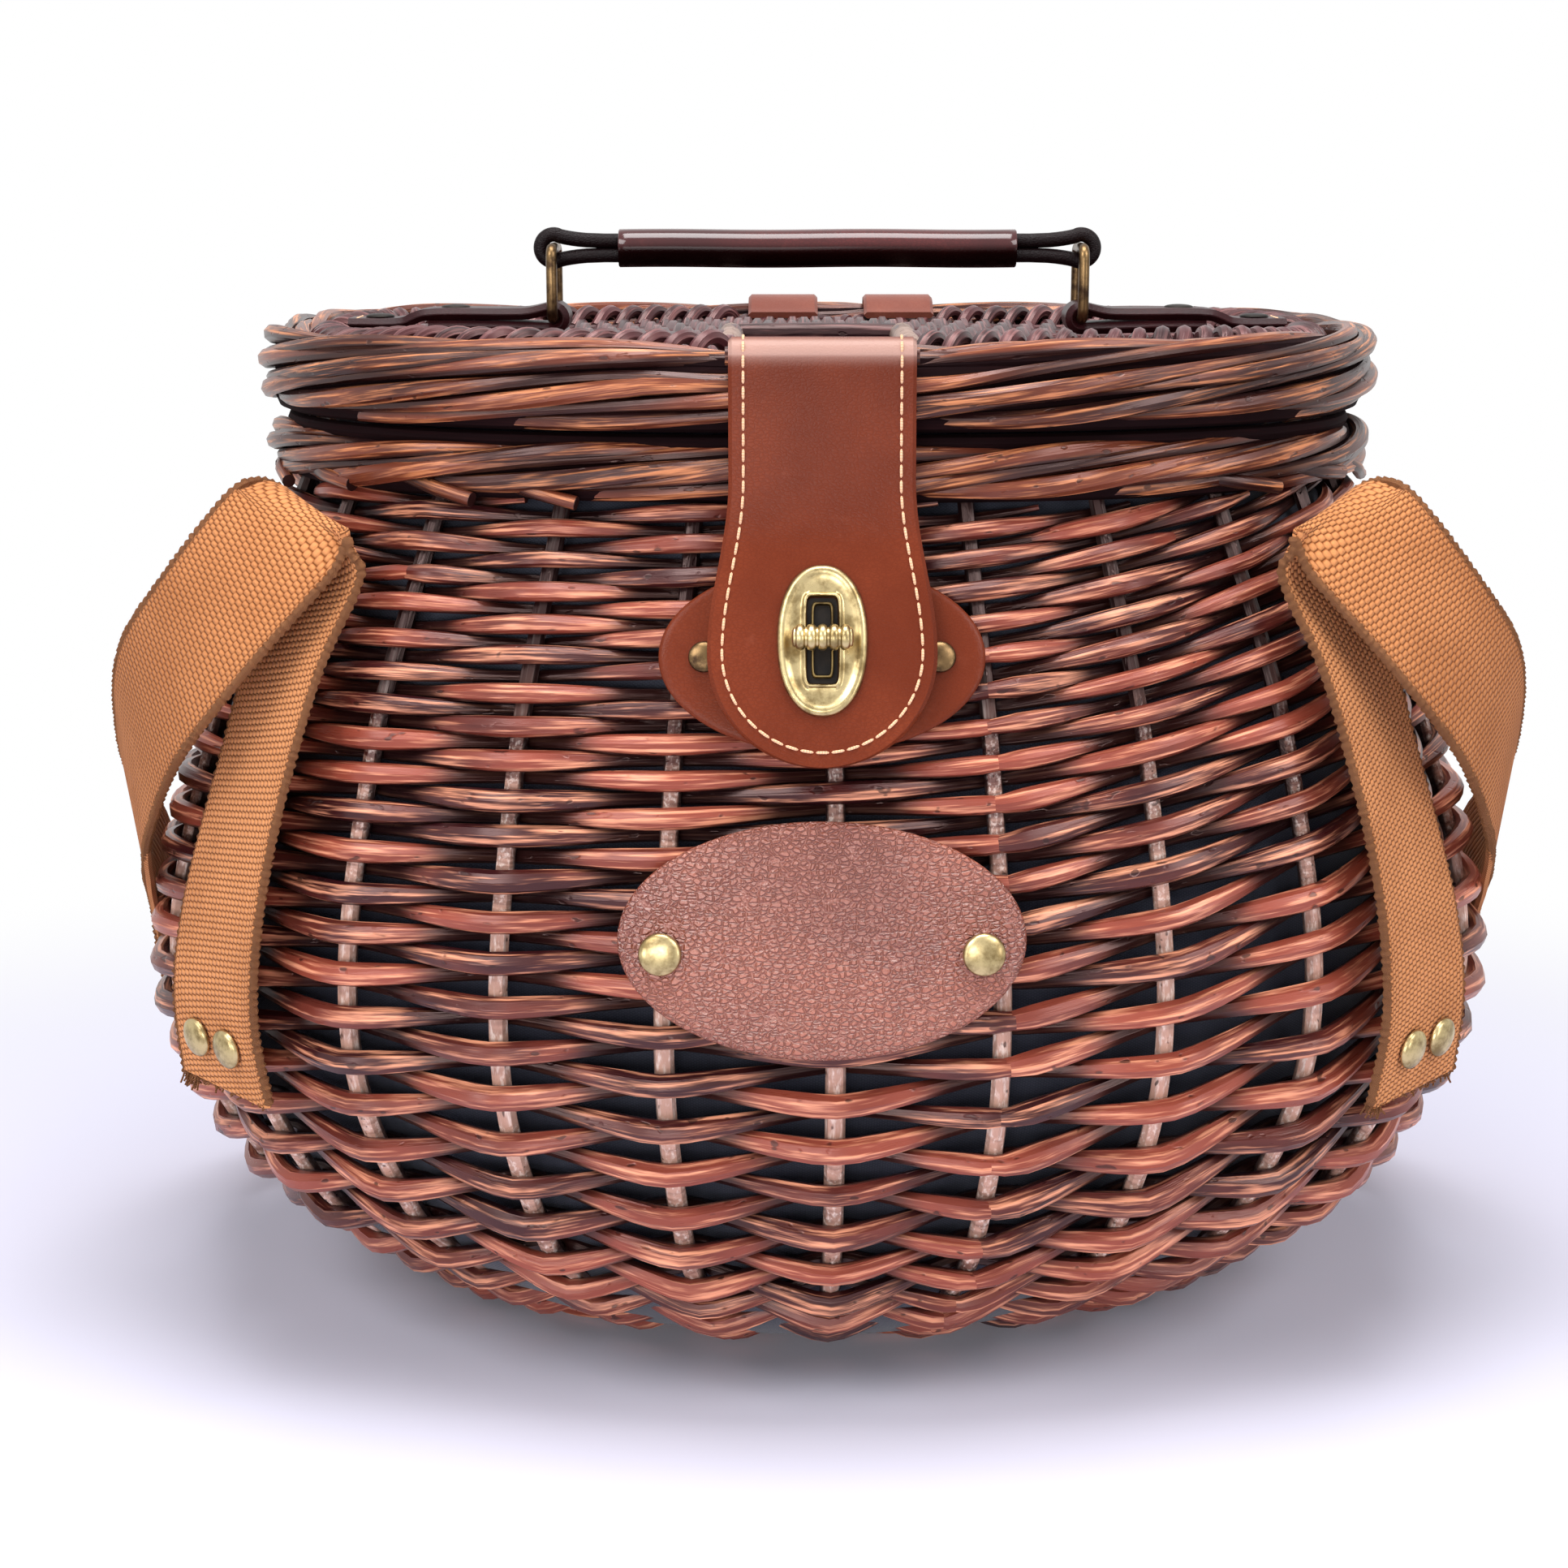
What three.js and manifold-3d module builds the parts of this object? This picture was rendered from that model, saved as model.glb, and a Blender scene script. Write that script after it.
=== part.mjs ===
// Creel-shaped willow picnic basket. Millimetres, +Z up, front towards -Y, standing on Z = 0.
import * as THREE from 'three';
import { mergeVertices } from 'three/addons/utils/BufferGeometryUtils.js';
import ManifoldModule from 'manifold-3d';

// Clearances
const SEAT = 0.3; // between pieces that rest on each other
const TURN = 0.35; // round a rod or pin that something turns on
const SLIDE = 0.4; // round the boss in its slot
const SWING = 0.6; // round a loop that swings in a notch

// Basket plan: half width at the sides, depth to the front and to the back, roundness of the front
const BASE_PLAN = { width: 111, front: 54, back: 68, round: 1.85 };
const FOOT_PLAN = { width: 139, front: 95, back: 85, round: 1.75 };
const LOWER_PLAN = { width: 169, front: 119, back: 96, round: 2.05 };
const BELLY_PLAN = { width: 191, front: 134, back: 103, round: 2.2 };
const SHOULDER_PLAN = { width: 173, front: 125, back: 99, round: 2.4 };
const NECK_PLAN = { width: 147, front: 105, back: 90, round: 2.4 };
const FOOT_HEIGHT = 18;
const LOWER_HEIGHT = 45;
const BELLY_HEIGHT = 102;
const SHOULDER_HEIGHT = 180;
const NECK_HEIGHT = 240;
const BACK_ROUNDNESS = 4.5; // exponent of the flattened back
const WALL_THICK = 10;
const BASE_THICK = 8;
const LINING_THICK = 1.5;

// Weave: bands of weavers pass in front of one stake and behind the next
const STAKES = 24;
const BAND_RISE = 20; // from band to band up the wall
const BAND_SWING = 5; // how far a band sinks in where it passes behind a stake
const GROOVE_DEPTH = 5.5; // between two bands
const STAKE_PROUD = 1.5; // of the stakes in the grooves
const PANEL_RIB = 14; // from rib to rib across the lid
const PANEL_STICK = 21.5; // from stick to stick, front to back
const PANEL_SWING = 2.5; // how far a rib sinks in where it passes under a stick

// Rolled borders
const RIM_OVERHANG = 4;
const RIM_WIDTH = 16;
const RIM_HEIGHT = 15.7;
const LID_OVERHANG = 1.5;
const LID_BORDER_WIDTH = 15;
const LID_BORDER_HEIGHT = 23.4;
const PANEL_THICK = 7;
const PANEL_DROP = 4; // panel top below the border top
const HOLE_WIDTH = 42;
const HOLE_LENGTH = 56;
const HOLE_CENTRE = -14;
const HOLE_ROD = 6;
const FRAME_PROUD = 1;

// Rear hinge
const HINGE_ROD_RADIUS = 3;
const HINGE_ROD_HALF = 48;
const HINGE_LOOP_WIDTH = 21;
const HINGE_LOOP_CENTRE = 17.5;
const HINGE_SHIFT = 8; // the pair sits off the middle
const HINGE_REACH = 1.5; // rod axis behind the rim
const HINGE_TONGUE = 22; // length of the loop's tongue on the lid
const LEATHER = 2;

// Closure strap and turn-lock
const FLAP_ROD_RADIUS = 3;
const FLAP_ROD_SETBACK = 2.5; // rod axis behind the lid border's front
const FLAP_ROD_DROP = 3.5; // rod axis below the lid border's top
const FLAP_ROD_BEARING = 6; // rod length let into the border at each end
const FLAP_THICK = 2.6;
const FLAP_TOP_HALF = 21.2;
const FLAP_END_HALF = 26.8;
const FLAP_END_HEIGHT = 181;
const FLAP_STANDOFF = 6.2; // strap middle in front of the wall where it bulges most
const FLAP_HANG = 16; // straight length under the rod
const FLAP_BEND_DROP = 6; // bend towards the wall, below the neck
const LOCK_HEIGHT = 209;
const LOCK_PLATE_WIDTH = 21;
const LOCK_PLATE_LENGTH = 40;
const LOCK_PLATE_THICK = 1.6;
const SLOT_WIDTH = 8.2;
const SLOT_LENGTH = 24.6;
const BOSS_PROUD = 0.9;
const TOGGLE_RADIUS = 2.8;
const TOGGLE_LENGTH = 14;
const STEM_RADIUS = 1.6;
const KEEPER_WIDTH = 12;
const KEEPER_LENGTH = 26;
const KEEPER_THICK = 1.2;
const BACKING_WIDTH = 79;
const BACKING_LENGTH = 44;
const BACKING_DROP = 5; // patch middle below the lock
const BACKING_RIVET = 30.5; // rivet distance from the middle

// Label
const LABEL_WIDTH = 99;
const LABEL_LENGTH = 58;
const LABEL_HEIGHT = 137;
const LABEL_RIVET = 39;
const LABEL_RIVET_DROP = 3; // rivets below the label's middle

// Rivets
const RIVET_RADIUS = 5.3;
const RIVET_DOME = 2.4;
const SMALL_RIVET_RADIUS = 4;
const SMALL_RIVET_DOME = 1.6;
const SHANK_RADIUS = 1.4;

// Carry handle
const RING_CENTRE = 72.6; // ring distance from the middle
const RING_WIDTH = 20; // between the wire's middles, front to back
const RING_RISE = 18.8; // between the lower and upper bar
const RING_CORNER = 2;
const RING_WIRE = 1.5; // wire radius
const TAB_WIDTH = 15;
const TAB_MARGIN = 8.5; // outer end of the tab inside the lid panel's edge
const TAB_SINGLE = 22; // length of the single layer at the outer end
const TAB_RIVET_INSETS = [29, 8]; // rivets inside the tab's outer end
const CORD_THROAT = 9; // where the cord's loop closes, from the ring
const CORD_RADIUS = 1.8;
const GRIP_HALF = 54.7;
const SLEEVE_THICK = 0.9;

// Shoulder strap
const WEBBING_WIDTH = 38;
const WEBBING_THICK = 2.2;
const STRAP_LOW_ANGLE = THREE.MathUtils.degToRad(52.5); // place of the cut end, from the front middle
const STRAP_HIGH_ANGLE = THREE.MathUtils.degToRad(47.5); // place where the strap leaves the wall
const STRAP_LOW = 86; // height of the cut end
const STRAP_HIGH = 218; // height where the strap leaves the wall
const STRAP_TWIST = THREE.MathUtils.degToRad(12); // its front edge stands off the wall
const STRAP_STAND = 2.2; // its middle off the wall, because of the twist
const STRAP_RIVET_INSET = 13; // lower rivets above the cut end
const STRAP_RIVET_SPREAD = 7; // lower rivets off the strap's middle
const STRAP_RIVET_DROP = 3; // upper rivet below the fold
// Free run of the strap: degrees round the plan, gap to the wall below it, height, width direction
const STRAP_RUN = [
  { degrees: 53.2, gap: 15.5, height: 215, side: [0.48, 0.5, 0.72] },
  { degrees: 59.9, gap: 16.9, height: 190, side: [0.42, 0.52, 0.74] },
  { degrees: 67.2, gap: 13.7, height: 163, side: [0.36, 0.66, 0.64] },
  { degrees: 80.2, gap: 6.7, height: 140, side: [0.27, 0.87, 0.41] },
  { degrees: 90.3, gap: 4.2, height: 113, side: [0.05, 0.97, 0.2] },
  { degrees: 97.6, gap: 2.8, height: 82, side: [-0.05, 0.98, 0.1] },
  { degrees: 118.1, gap: 2.8, height: 50, side: [-0.25, 0.95, 0.1] },
  { degrees: 141.3, gap: 8.3, height: 23, side: [-0.3, 0.94, 0.05] },
  { degrees: 159.9, gap: 20, height: 6, side: [-0.2, 0.98, 0] },
  { degrees: 175.6, gap: 26.1, height: 0, side: [-0.08, 1, 0] },
];
const STRAP_REAR_GAP = 29; // middle of the strap behind the basket

// Facets
const AROUND = 2 * STAKES;
const FINE = 10;

const wasm = await ManifoldModule();
wasm.setup();

const V = (x, y, z) => new THREE.Vector3(x, y, z);

const FINISH = {
  willow: { color: 0x5b2c1c, roughness: 0.5, metalness: 0 },
  paleWillow: { color: 0xa0653c, roughness: 0.55, metalness: 0 },
  lining: { color: 0x6b7078, roughness: 0.9, metalness: 0 },
  leather: { color: 0x6a2716, roughness: 0.45, metalness: 0 },
  brass: { color: 0x9c7a45, roughness: 0.35, metalness: 1 },
  cord: { color: 0x1c1613, roughness: 0.7, metalness: 0 },
  webbing: { color: 0xb58a56, roughness: 0.9, metalness: 0 },
};

const root = new THREE.Group();
root.name = 'picnic_basket';

// Adds one named piece to the basket.
function addPiece(name, geometry, finish) {
  const mesh = new THREE.Mesh(geometry, new THREE.MeshStandardMaterial(FINISH[finish]));
  mesh.name = name;
  root.add(mesh);
  return mesh;
}

// Turns a geometry into a solid that can be cut or joined.
function toSolid(geometry) {
  const bare = new THREE.BufferGeometry();
  bare.setAttribute('position', geometry.getAttribute('position').clone());
  if (geometry.index) bare.setIndex(geometry.index.clone());
  const merged = mergeVertices(bare, 1e-4);
  return new wasm.Manifold(new wasm.Mesh({
    numProp: 3,
    vertProperties: new Float32Array(merged.getAttribute('position').array),
    triVerts: new Uint32Array(merged.index.array),
  }));
}

// Turns a solid back into a geometry.
function fromSolid(solid) {
  const mesh = solid.getMesh();
  const count = mesh.vertProperties.length / mesh.numProp;
  const positions = new Float32Array(count * 3);
  for (let i = 0; i < count; i += 1) {
    for (let k = 0; k < 3; k += 1) positions[i * 3 + k] = mesh.vertProperties[i * mesh.numProp + k];
  }
  const geometry = new THREE.BufferGeometry();
  geometry.setAttribute('position', new THREE.BufferAttribute(positions, 3));
  geometry.setIndex(Array.from(mesh.triVerts));
  geometry.computeVertexNormals();
  return geometry;
}

// Cuts the later geometries out of the first one.
function cut(geometry, ...tools) {
  let solid = toSolid(geometry);
  for (const tool of tools) solid = solid.subtract(toSolid(tool));
  return fromSolid(solid);
}

// Joins geometries into one body.
function join(...geometries) {
  let solid = toSolid(geometries[0]);
  for (const geometry of geometries.slice(1)) solid = solid.add(toSolid(geometry));
  return fromSolid(solid);
}

// Keeps what two geometries share.
function common(first, second) {
  return fromSolid(toSolid(first).intersect(toSolid(second)));
}

// A grid of points skinned into a closed body. Rows are closed loops; the last row meets the first,
// or both ends are closed with a fan.
function skin(rows, looped) {
  const across = rows[0].length;
  const positions = [];
  const index = [];
  for (const row of rows) {
    for (const point of row) positions.push(point.x, point.y, point.z);
  }
  const last = looped ? rows.length : rows.length - 1;
  for (let j = 0; j < last; j += 1) {
    const next = (j + 1) % rows.length;
    for (let i = 0; i < across; i += 1) {
      const k = (i + 1) % across;
      const a = j * across + i;
      const b = j * across + k;
      const c = next * across + k;
      const d = next * across + i;
      index.push(a, b, c, a, c, d);
    }
  }
  if (!looped) {
    for (const end of [0, rows.length - 1]) {
      const middle = V(0, 0, 0);
      for (const point of rows[end]) middle.add(point);
      middle.divideScalar(across);
      const hub = positions.length / 3;
      positions.push(middle.x, middle.y, middle.z);
      for (let i = 0; i < across; i += 1) {
        const a = end * across + i;
        const b = end * across + ((i + 1) % across);
        if (end === 0) index.push(hub, b, a);
        else index.push(hub, a, b);
      }
    }
  }
  const geometry = new THREE.BufferGeometry();
  geometry.setAttribute('position', new THREE.Float32BufferAttribute(positions, 3));
  geometry.setIndex(index);
  geometry.computeVertexNormals();
  return outward(geometry);
}

// Turns the faces round where a body came out inside out.
function outward(geometry) {
  const p = geometry.getAttribute('position');
  const index = geometry.index.array;
  let volume = 0;
  const a = V(0, 0, 0);
  const b = V(0, 0, 0);
  const c = V(0, 0, 0);
  for (let i = 0; i < index.length; i += 3) {
    a.fromBufferAttribute(p, index[i]);
    b.fromBufferAttribute(p, index[i + 1]);
    c.fromBufferAttribute(p, index[i + 2]);
    volume += a.dot(b.cross(c)) / 6;
  }
  if (volume < 0) {
    const turned = [];
    for (let i = 0; i < index.length; i += 3) turned.push(index[i], index[i + 2], index[i + 1]);
    geometry.setIndex(turned);
    geometry.computeVertexNormals();
  }
  return geometry;
}

// The basket's plan at a height, eased between the six stated levels.
const LEVELS = [
  { z: 0, ...BASE_PLAN },
  { z: FOOT_HEIGHT, ...FOOT_PLAN },
  { z: LOWER_HEIGHT, ...LOWER_PLAN },
  { z: BELLY_HEIGHT, ...BELLY_PLAN },
  { z: SHOULDER_HEIGHT, ...SHOULDER_PLAN },
  { z: NECK_HEIGHT, ...NECK_PLAN },
];

function eased(key, z) {
  let i = 0;
  while (i < LEVELS.length - 2 && z > LEVELS[i + 1].z) i += 1;
  const slope = (k) => {
    const low = LEVELS[Math.max(k - 1, 0)];
    const high = LEVELS[Math.min(k + 1, LEVELS.length - 1)];
    return (high[key] - low[key]) / (high.z - low.z);
  };
  const span = LEVELS[i + 1].z - LEVELS[i].z;
  const t = (z - LEVELS[i].z) / span;
  const start = (1 + 2 * t) * (1 - t) ** 2 * LEVELS[i][key] + t * (1 - t) ** 2 * span * slope(i);
  const end = t * t * (3 - 2 * t) * LEVELS[i + 1][key] - t * t * (1 - t) * span * slope(i + 1);
  return start + end;
}

function planAt(z) {
  return {
    width: eased('width', z),
    front: eased('front', z),
    back: eased('back', z),
    round: eased('round', z),
  };
}

function grown(plan, by) {
  return { width: plan.width + by, front: plan.front + by, back: plan.back + by, round: plan.round };
}

// A point of a plan outline: angle 0 is the front middle, a quarter turn the side at +X.
function outlinePoint(plan, angle) {
  const s = Math.sin(angle);
  const c = Math.cos(angle);
  const power = 2 / (c >= 0 ? plan.round : BACK_ROUNDNESS);
  const x = plan.width * Math.sign(s) * Math.abs(s) ** power;
  const y = c >= 0 ? -plan.front * c ** power : plan.back * (-c) ** power;
  return V(x, y, 0);
}

// An outline with evenly spaced points at one height.
function outline(plan, z, count) {
  const dense = [];
  const steps = 1440;
  for (let i = 0; i <= steps; i += 1) dense.push(outlinePoint(plan, (i / steps) * 2 * Math.PI));
  const lengths = [0];
  for (let i = 1; i <= steps; i += 1) lengths.push(lengths[i - 1] + dense[i].distanceTo(dense[i - 1]));
  const loop = [];
  let k = 0;
  for (let i = 0; i < count; i += 1) {
    const want = (i / count) * lengths[steps];
    while (lengths[k + 1] < want) k += 1;
    const t = (want - lengths[k]) / (lengths[k + 1] - lengths[k]);
    const point = dense[k].clone().lerp(dense[k + 1], t);
    loop.push(V(point.x, point.y, z));
  }
  return loop;
}

// The same outline moved inwards by an even distance.
function inset(row, by) {
  return dented(row, () => by);
}

// The same outline with each point moved inwards by its own distance.
function dented(row, depth) {
  return row.map((point, i) => {
    const before = row[(i + row.length - 1) % row.length];
    const after = row[(i + 1) % row.length];
    const first = point.clone().sub(before).normalize();
    const second = after.clone().sub(point).normalize();
    const inward = V(-(first.y + second.y), first.x + second.x, 0).normalize();
    const mitre = depth(i) / Math.max(inward.dot(V(-first.y, first.x, 0)), 0.5);
    return point.clone().addScaledVector(inward, mitre);
  });
}

// Front or side of the wall's outside: the point with this x and z.
function wallFace(x, z) {
  const plan = planAt(z);
  const share = Math.min(Math.abs(x) / plan.width, 0.999);
  return V(x, -plan.front * (1 - share ** plan.round) ** (1 / plan.round), z);
}

function wallNormal(x, z) {
  const step = 0.5;
  const across = wallFace(x + step, z).sub(wallFace(x - step, z));
  const up = wallFace(x, z + step).sub(wallFace(x, z - step));
  return across.cross(up).normalize();
}

// Rows of a ring with a rounded section, swept round a plan outline.
function borderRing(plan, width, low, high) {
  const rounding = 0.36;
  const section = [];
  const turns = 2;
  const reach = Math.min(width, high - low) * rounding;
  const corners = [
    [0, high, 0], [0, low, 1], [-width, low, 2], [-width, high, 3],
  ];
  for (const [out, z, quarter] of corners) {
    const cx = out === 0 ? -reach : -width + reach;
    const cz = z === high ? high - reach : low + reach;
    for (let i = 0; i <= turns; i += 1) {
      const angle = Math.PI / 2 - (quarter + i / turns) * (Math.PI / 2);
      section.push([cx + reach * Math.cos(angle), cz + reach * Math.sin(angle)]);
    }
  }
  return skin(section.map(([out, z]) => outline(grown(plan, out), z, AROUND)), true);
}

// A flat strap swept along stations of middle point, width direction and half width.
function ribbon(stations, thick) {
  const rows = stations.map((station, i) => {
    const before = stations[Math.max(i - 1, 0)].point;
    const after = stations[Math.min(i + 1, stations.length - 1)].point;
    const along = after.clone().sub(before).normalize();
    const side = station.side.clone().addScaledVector(along, -station.side.dot(along)).normalize();
    const face = side.clone().cross(along).normalize().multiplyScalar(thick / 2);
    const reach = side.multiplyScalar(station.half);
    return [
      station.point.clone().sub(reach).sub(face),
      station.point.clone().add(reach).sub(face),
      station.point.clone().add(reach).add(face),
      station.point.clone().sub(reach).add(face),
    ];
  });
  return skin(rows, false);
}

// Points of a path in one plane bent into a strap of constant width.
function bentStrap(points, side, half, thick) {
  return ribbon(points.map((point) => ({ point, side, half })), thick);
}

// Points on an arc about a centre; plane gives the first and second direction.
function arc(centre, radius, from, to, steps, first, second) {
  const points = [];
  for (let i = 0; i <= steps; i += 1) {
    const angle = from + ((to - from) * i) / steps;
    points.push(centre.clone().addScaledVector(first, radius * Math.cos(angle))
      .addScaledVector(second, radius * Math.sin(angle)));
  }
  return points;
}

// A round bar between two points.
function bar(from, to, radius, sides) {
  const along = to.clone().sub(from);
  const geometry = new THREE.CylinderGeometry(radius, radius, along.length(), sides, 1);
  geometry.applyQuaternion(new THREE.Quaternion().setFromUnitVectors(V(0, 1, 0), along.clone().normalize()));
  const middle = from.clone().add(to).multiplyScalar(0.5);
  return geometry.translate(middle.x, middle.y, middle.z);
}

// A closed wire loop through even points.
function wireLoop(points, radius, sides) {
  const rows = points.map((point, i) => {
    const before = points[(i + points.length - 1) % points.length];
    const after = points[(i + 1) % points.length];
    const along = after.clone().sub(before).normalize();
    const first = wireLoop.normal.clone();
    const second = along.clone().cross(first).normalize();
    return arc(point, radius, 0, 2 * Math.PI * (1 - 1 / sides), sides - 1, first, second);
  });
  return skin(rows, true);
}

// A body of revolution about local Z, placed with its axis along a direction.
function turned(profile, sides, seat, axis) {
  const geometry = new THREE.LatheGeometry(profile.map(([r, h]) => new THREE.Vector2(r, h)), sides);
  geometry.applyQuaternion(new THREE.Quaternion().setFromUnitVectors(V(0, 1, 0), axis));
  return geometry.translate(seat.x, seat.y, seat.z);
}

// A domed rivet whose head rests on a seat, with a shank going in.
function rivet(seat, axis, radius, dome, shank) {
  const profile = [[0, -shank], [SHANK_RADIUS, -shank], [SHANK_RADIUS, 0], [radius, 0], [radius, dome * 0.3]];
  const steps = 3;
  for (let i = 1; i < steps; i += 1) {
    const t = i / steps;
    profile.push([radius * Math.cos((t * Math.PI) / 2), dome * (0.3 + 0.7 * Math.sin((t * Math.PI) / 2))]);
  }
  profile.push([0, dome]);
  return turned(profile, FINE, seat, axis);
}

// The hole a rivet's shank passes through.
function shankHole(seat, axis, depth) {
  const from = seat.clone().addScaledVector(axis, 1);
  return bar(from, seat.clone().addScaledVector(axis, -depth), SHANK_RADIUS + TURN, FINE);
}

// An oval leather patch that follows the wall.
function wallPatch(width, length, height, gap, thick) {
  const rings = 3;
  const around = 28;
  const layer = (share, lift) => {
    const row = [];
    for (let i = 0; i < around; i += 1) {
      const angle = (i / around) * 2 * Math.PI;
      const x = (share * width * Math.cos(angle)) / 2;
      const z = height + (share * length * Math.sin(angle)) / 2;
      row.push(wallFace(x, z).addScaledVector(wallNormal(x, z), lift));
    }
    return row;
  };
  const rows = [];
  for (let i = 1; i <= rings; i += 1) rows.push(layer(i / rings, gap));
  for (let i = rings; i >= 1; i -= 1) rows.push(layer(i / rings, gap + thick));
  return skin(rows, false);
}

// A block from two corners.
function block(low, high) {
  const geometry = new THREE.BoxGeometry(high.x - low.x, high.y - low.y, high.z - low.z);
  return geometry.translate((low.x + high.x) / 2, (low.y + high.y) / 2, (low.z + high.z) / 2);
}

// A flat plate from a shape, placed on a frame of right, up and out directions.
function plate(shape, thick, bevel, frame, lift) {
  const geometry = new THREE.ExtrudeGeometry(shape, {
    depth: thick - 2 * bevel,
    bevelEnabled: bevel > 0,
    bevelThickness: bevel,
    bevelSize: bevel,
    bevelOffset: -bevel,
    bevelSegments: 1,
    curveSegments: 16,
  });
  const matrix = new THREE.Matrix4().makeBasis(frame.right, frame.up, frame.out);
  const seat = frame.origin.clone().addScaledVector(frame.out, lift + bevel);
  return geometry.applyMatrix4(matrix.setPosition(seat));
}

function boxShape(width, length) {
  const shape = new THREE.Shape();
  shape.moveTo(-width / 2, -length / 2);
  shape.lineTo(width / 2, -length / 2);
  shape.lineTo(width / 2, length / 2);
  shape.lineTo(-width / 2, length / 2);
  shape.closePath();
  return shape;
}

// Heights of the borders
const RIM_LOW = NECK_HEIGHT + SEAT;
const RIM_TOP = RIM_LOW + RIM_HEIGHT;
const LID_LOW = RIM_TOP + SEAT;
const LID_TOP = LID_LOW + LID_BORDER_HEIGHT;
const PANEL_TOP = LID_TOP - PANEL_DROP;
const RIM_PLAN = grown(planAt(NECK_HEIGHT), RIM_OVERHANG);
const LID_PLAN = grown(RIM_PLAN, LID_OVERHANG);

// Heights of the grooves and band fronts, evenly spaced up the curve of the wall.
function bandHeights() {
  const steps = 240;
  const height = (i) => (NECK_HEIGHT * i) / steps;
  const runs = [0];
  for (let i = 1; i <= steps; i += 1) {
    const below = planAt(height(i - 1));
    const above = planAt(height(i));
    const out = (Math.abs(above.width - below.width) + Math.abs(above.front - below.front)) / 2;
    runs.push(runs[i - 1] + Math.hypot(out, NECK_HEIGHT / steps));
  }
  const halves = 2 * Math.round(runs[steps] / BAND_RISE);
  const heights = [];
  let k = 0;
  for (let j = 0; j <= halves; j += 1) {
    const want = (j / halves) * runs[steps];
    while (k < steps - 1 && runs[k + 1] < want) k += 1;
    heights.push(height(k + (want - runs[k]) / (runs[k + 1] - runs[k])));
  }
  return heights;
}

// Depth of the weave on one row of the wall; rows are grooves and band fronts by turns.
function weaveDepth(row, column) {
  const onStake = column % 2 === 0;
  if (row % 2 === 0) return onStake ? GROOVE_DEPTH - STAKE_PROUD : GROOVE_DEPTH;
  if (!onStake) return BAND_SWING / 2;
  const behind = (column / 2 + (row - 1) / 2) % 2;
  return behind * BAND_SWING;
}

function wovenRows() {
  const heights = bandHeights();
  return heights.map((z, row) => {
    const plain = outline(planAt(z), z, AROUND);
    const atEdge = row === 0 || row === heights.length - 1;
    return atEdge ? plain : dented(plain, (column) => weaveDepth(row, column));
  });
}

// Basket wall, base and lining
function buildBody() {
  const floor = BASE_THICK + SEAT;
  const levels = [floor];
  const count = 7;
  for (let i = 1; i < count; i += 1) levels.push(floor + (NECK_HEIGHT - floor) * (i / count) ** 1.4);
  const rows = wovenRows();
  const inside = (z) => outline(grown(planAt(z), -WALL_THICK), z, AROUND);
  for (const z of [0, ...levels, NECK_HEIGHT].reverse()) rows.push(inside(z));
  addPiece('wall', skin(rows, true), 'willow');

  const foot = inset(inside(0), SEAT);
  const deck = foot.map((point) => V(point.x, point.y, BASE_THICK));
  addPiece('base', skin([foot, deck], false), 'willow');

  const clothRows = [];
  const clothLevels = [...levels, NECK_HEIGHT - SEAT];
  for (const z of clothLevels) {
    clothRows.push(inset(inside(Math.max(z, floor + LINING_THICK)), SEAT + LINING_THICK));
  }
  for (const z of clothLevels.slice().reverse()) clothRows.push(inset(inside(z), SEAT));
  addPiece('lining', skin(clothRows, false), 'lining');
}

// Rear hinge: the rod's axis lies behind the rim, level with its upper half
const HINGE_Y = RIM_PLAN.back + HINGE_REACH;
const HINGE_Z = RIM_TOP - HINGE_ROD_RADIUS;
const LOOP_RADIUS = HINGE_ROD_RADIUS + TURN + LEATHER / 2;

function hingeX(sign) {
  return HINGE_SHIFT + sign * HINGE_LOOP_CENTRE;
}

function hingeSpan(sign, extra) {
  const half = HINGE_LOOP_WIDTH / 2 + extra;
  const x = hingeX(sign);
  return [V(x - half, HINGE_Y, HINGE_Z), V(x + half, HINGE_Y, HINGE_Z)];
}

function hingeNotch(sign) {
  const [from, to] = hingeSpan(sign, SWING);
  return bar(from, to, LOOP_RADIUS + LEATHER / 2 + SWING, 20);
}

function buildRim() {
  const ring = borderRing(RIM_PLAN, RIM_WIDTH, RIM_LOW, RIM_TOP);
  const notched = cut(ring, hingeNotch(-1), hingeNotch(1));
  const rodEnd = (sign) => V(HINGE_SHIFT + sign * HINGE_ROD_HALF, HINGE_Y, HINGE_Z);
  const rod = bar(rodEnd(-1), rodEnd(1), HINGE_ROD_RADIUS, 16);
  addPiece('rim_border', join(notched, rod), 'willow');
}

// Front rod of the lid border, which the closure strap hangs on
const FLAP_ROD_Y = -(LID_PLAN.front - FLAP_ROD_SETBACK);
const FLAP_ROD_Z = LID_TOP - FLAP_ROD_DROP;
const FLAP_EYE = FLAP_ROD_RADIUS + TURN + FLAP_THICK / 2;

// Woven block over the lid's whole plan: ribs run front to back and dip under every second stick.
function wovenBlock(plan, low, high) {
  const columns = 2 * Math.ceil(plan.width / PANEL_RIB);
  const sticks = Math.ceil((plan.front + plan.back) / PANEL_STICK);
  const rows = [];
  for (let i = -columns; i <= columns; i += 1) {
    const x = (i * PANEL_RIB) / 2;
    const row = [V(x, -plan.front - SEAT, low), V(x, -plan.front + sticks * PANEL_STICK, low)];
    for (let j = sticks; j >= 0; j -= 1) {
      const onRib = i % 2 === 0;
      const under = onRib ? Math.abs(i / 2 + j) % 2 : 1;
      row.push(V(x, j * PANEL_STICK - plan.front - (j === 0 ? SEAT : 0), high - under * PANEL_SWING));
    }
    rows.push(row);
  }
  return skin(rows, false);
}

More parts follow.
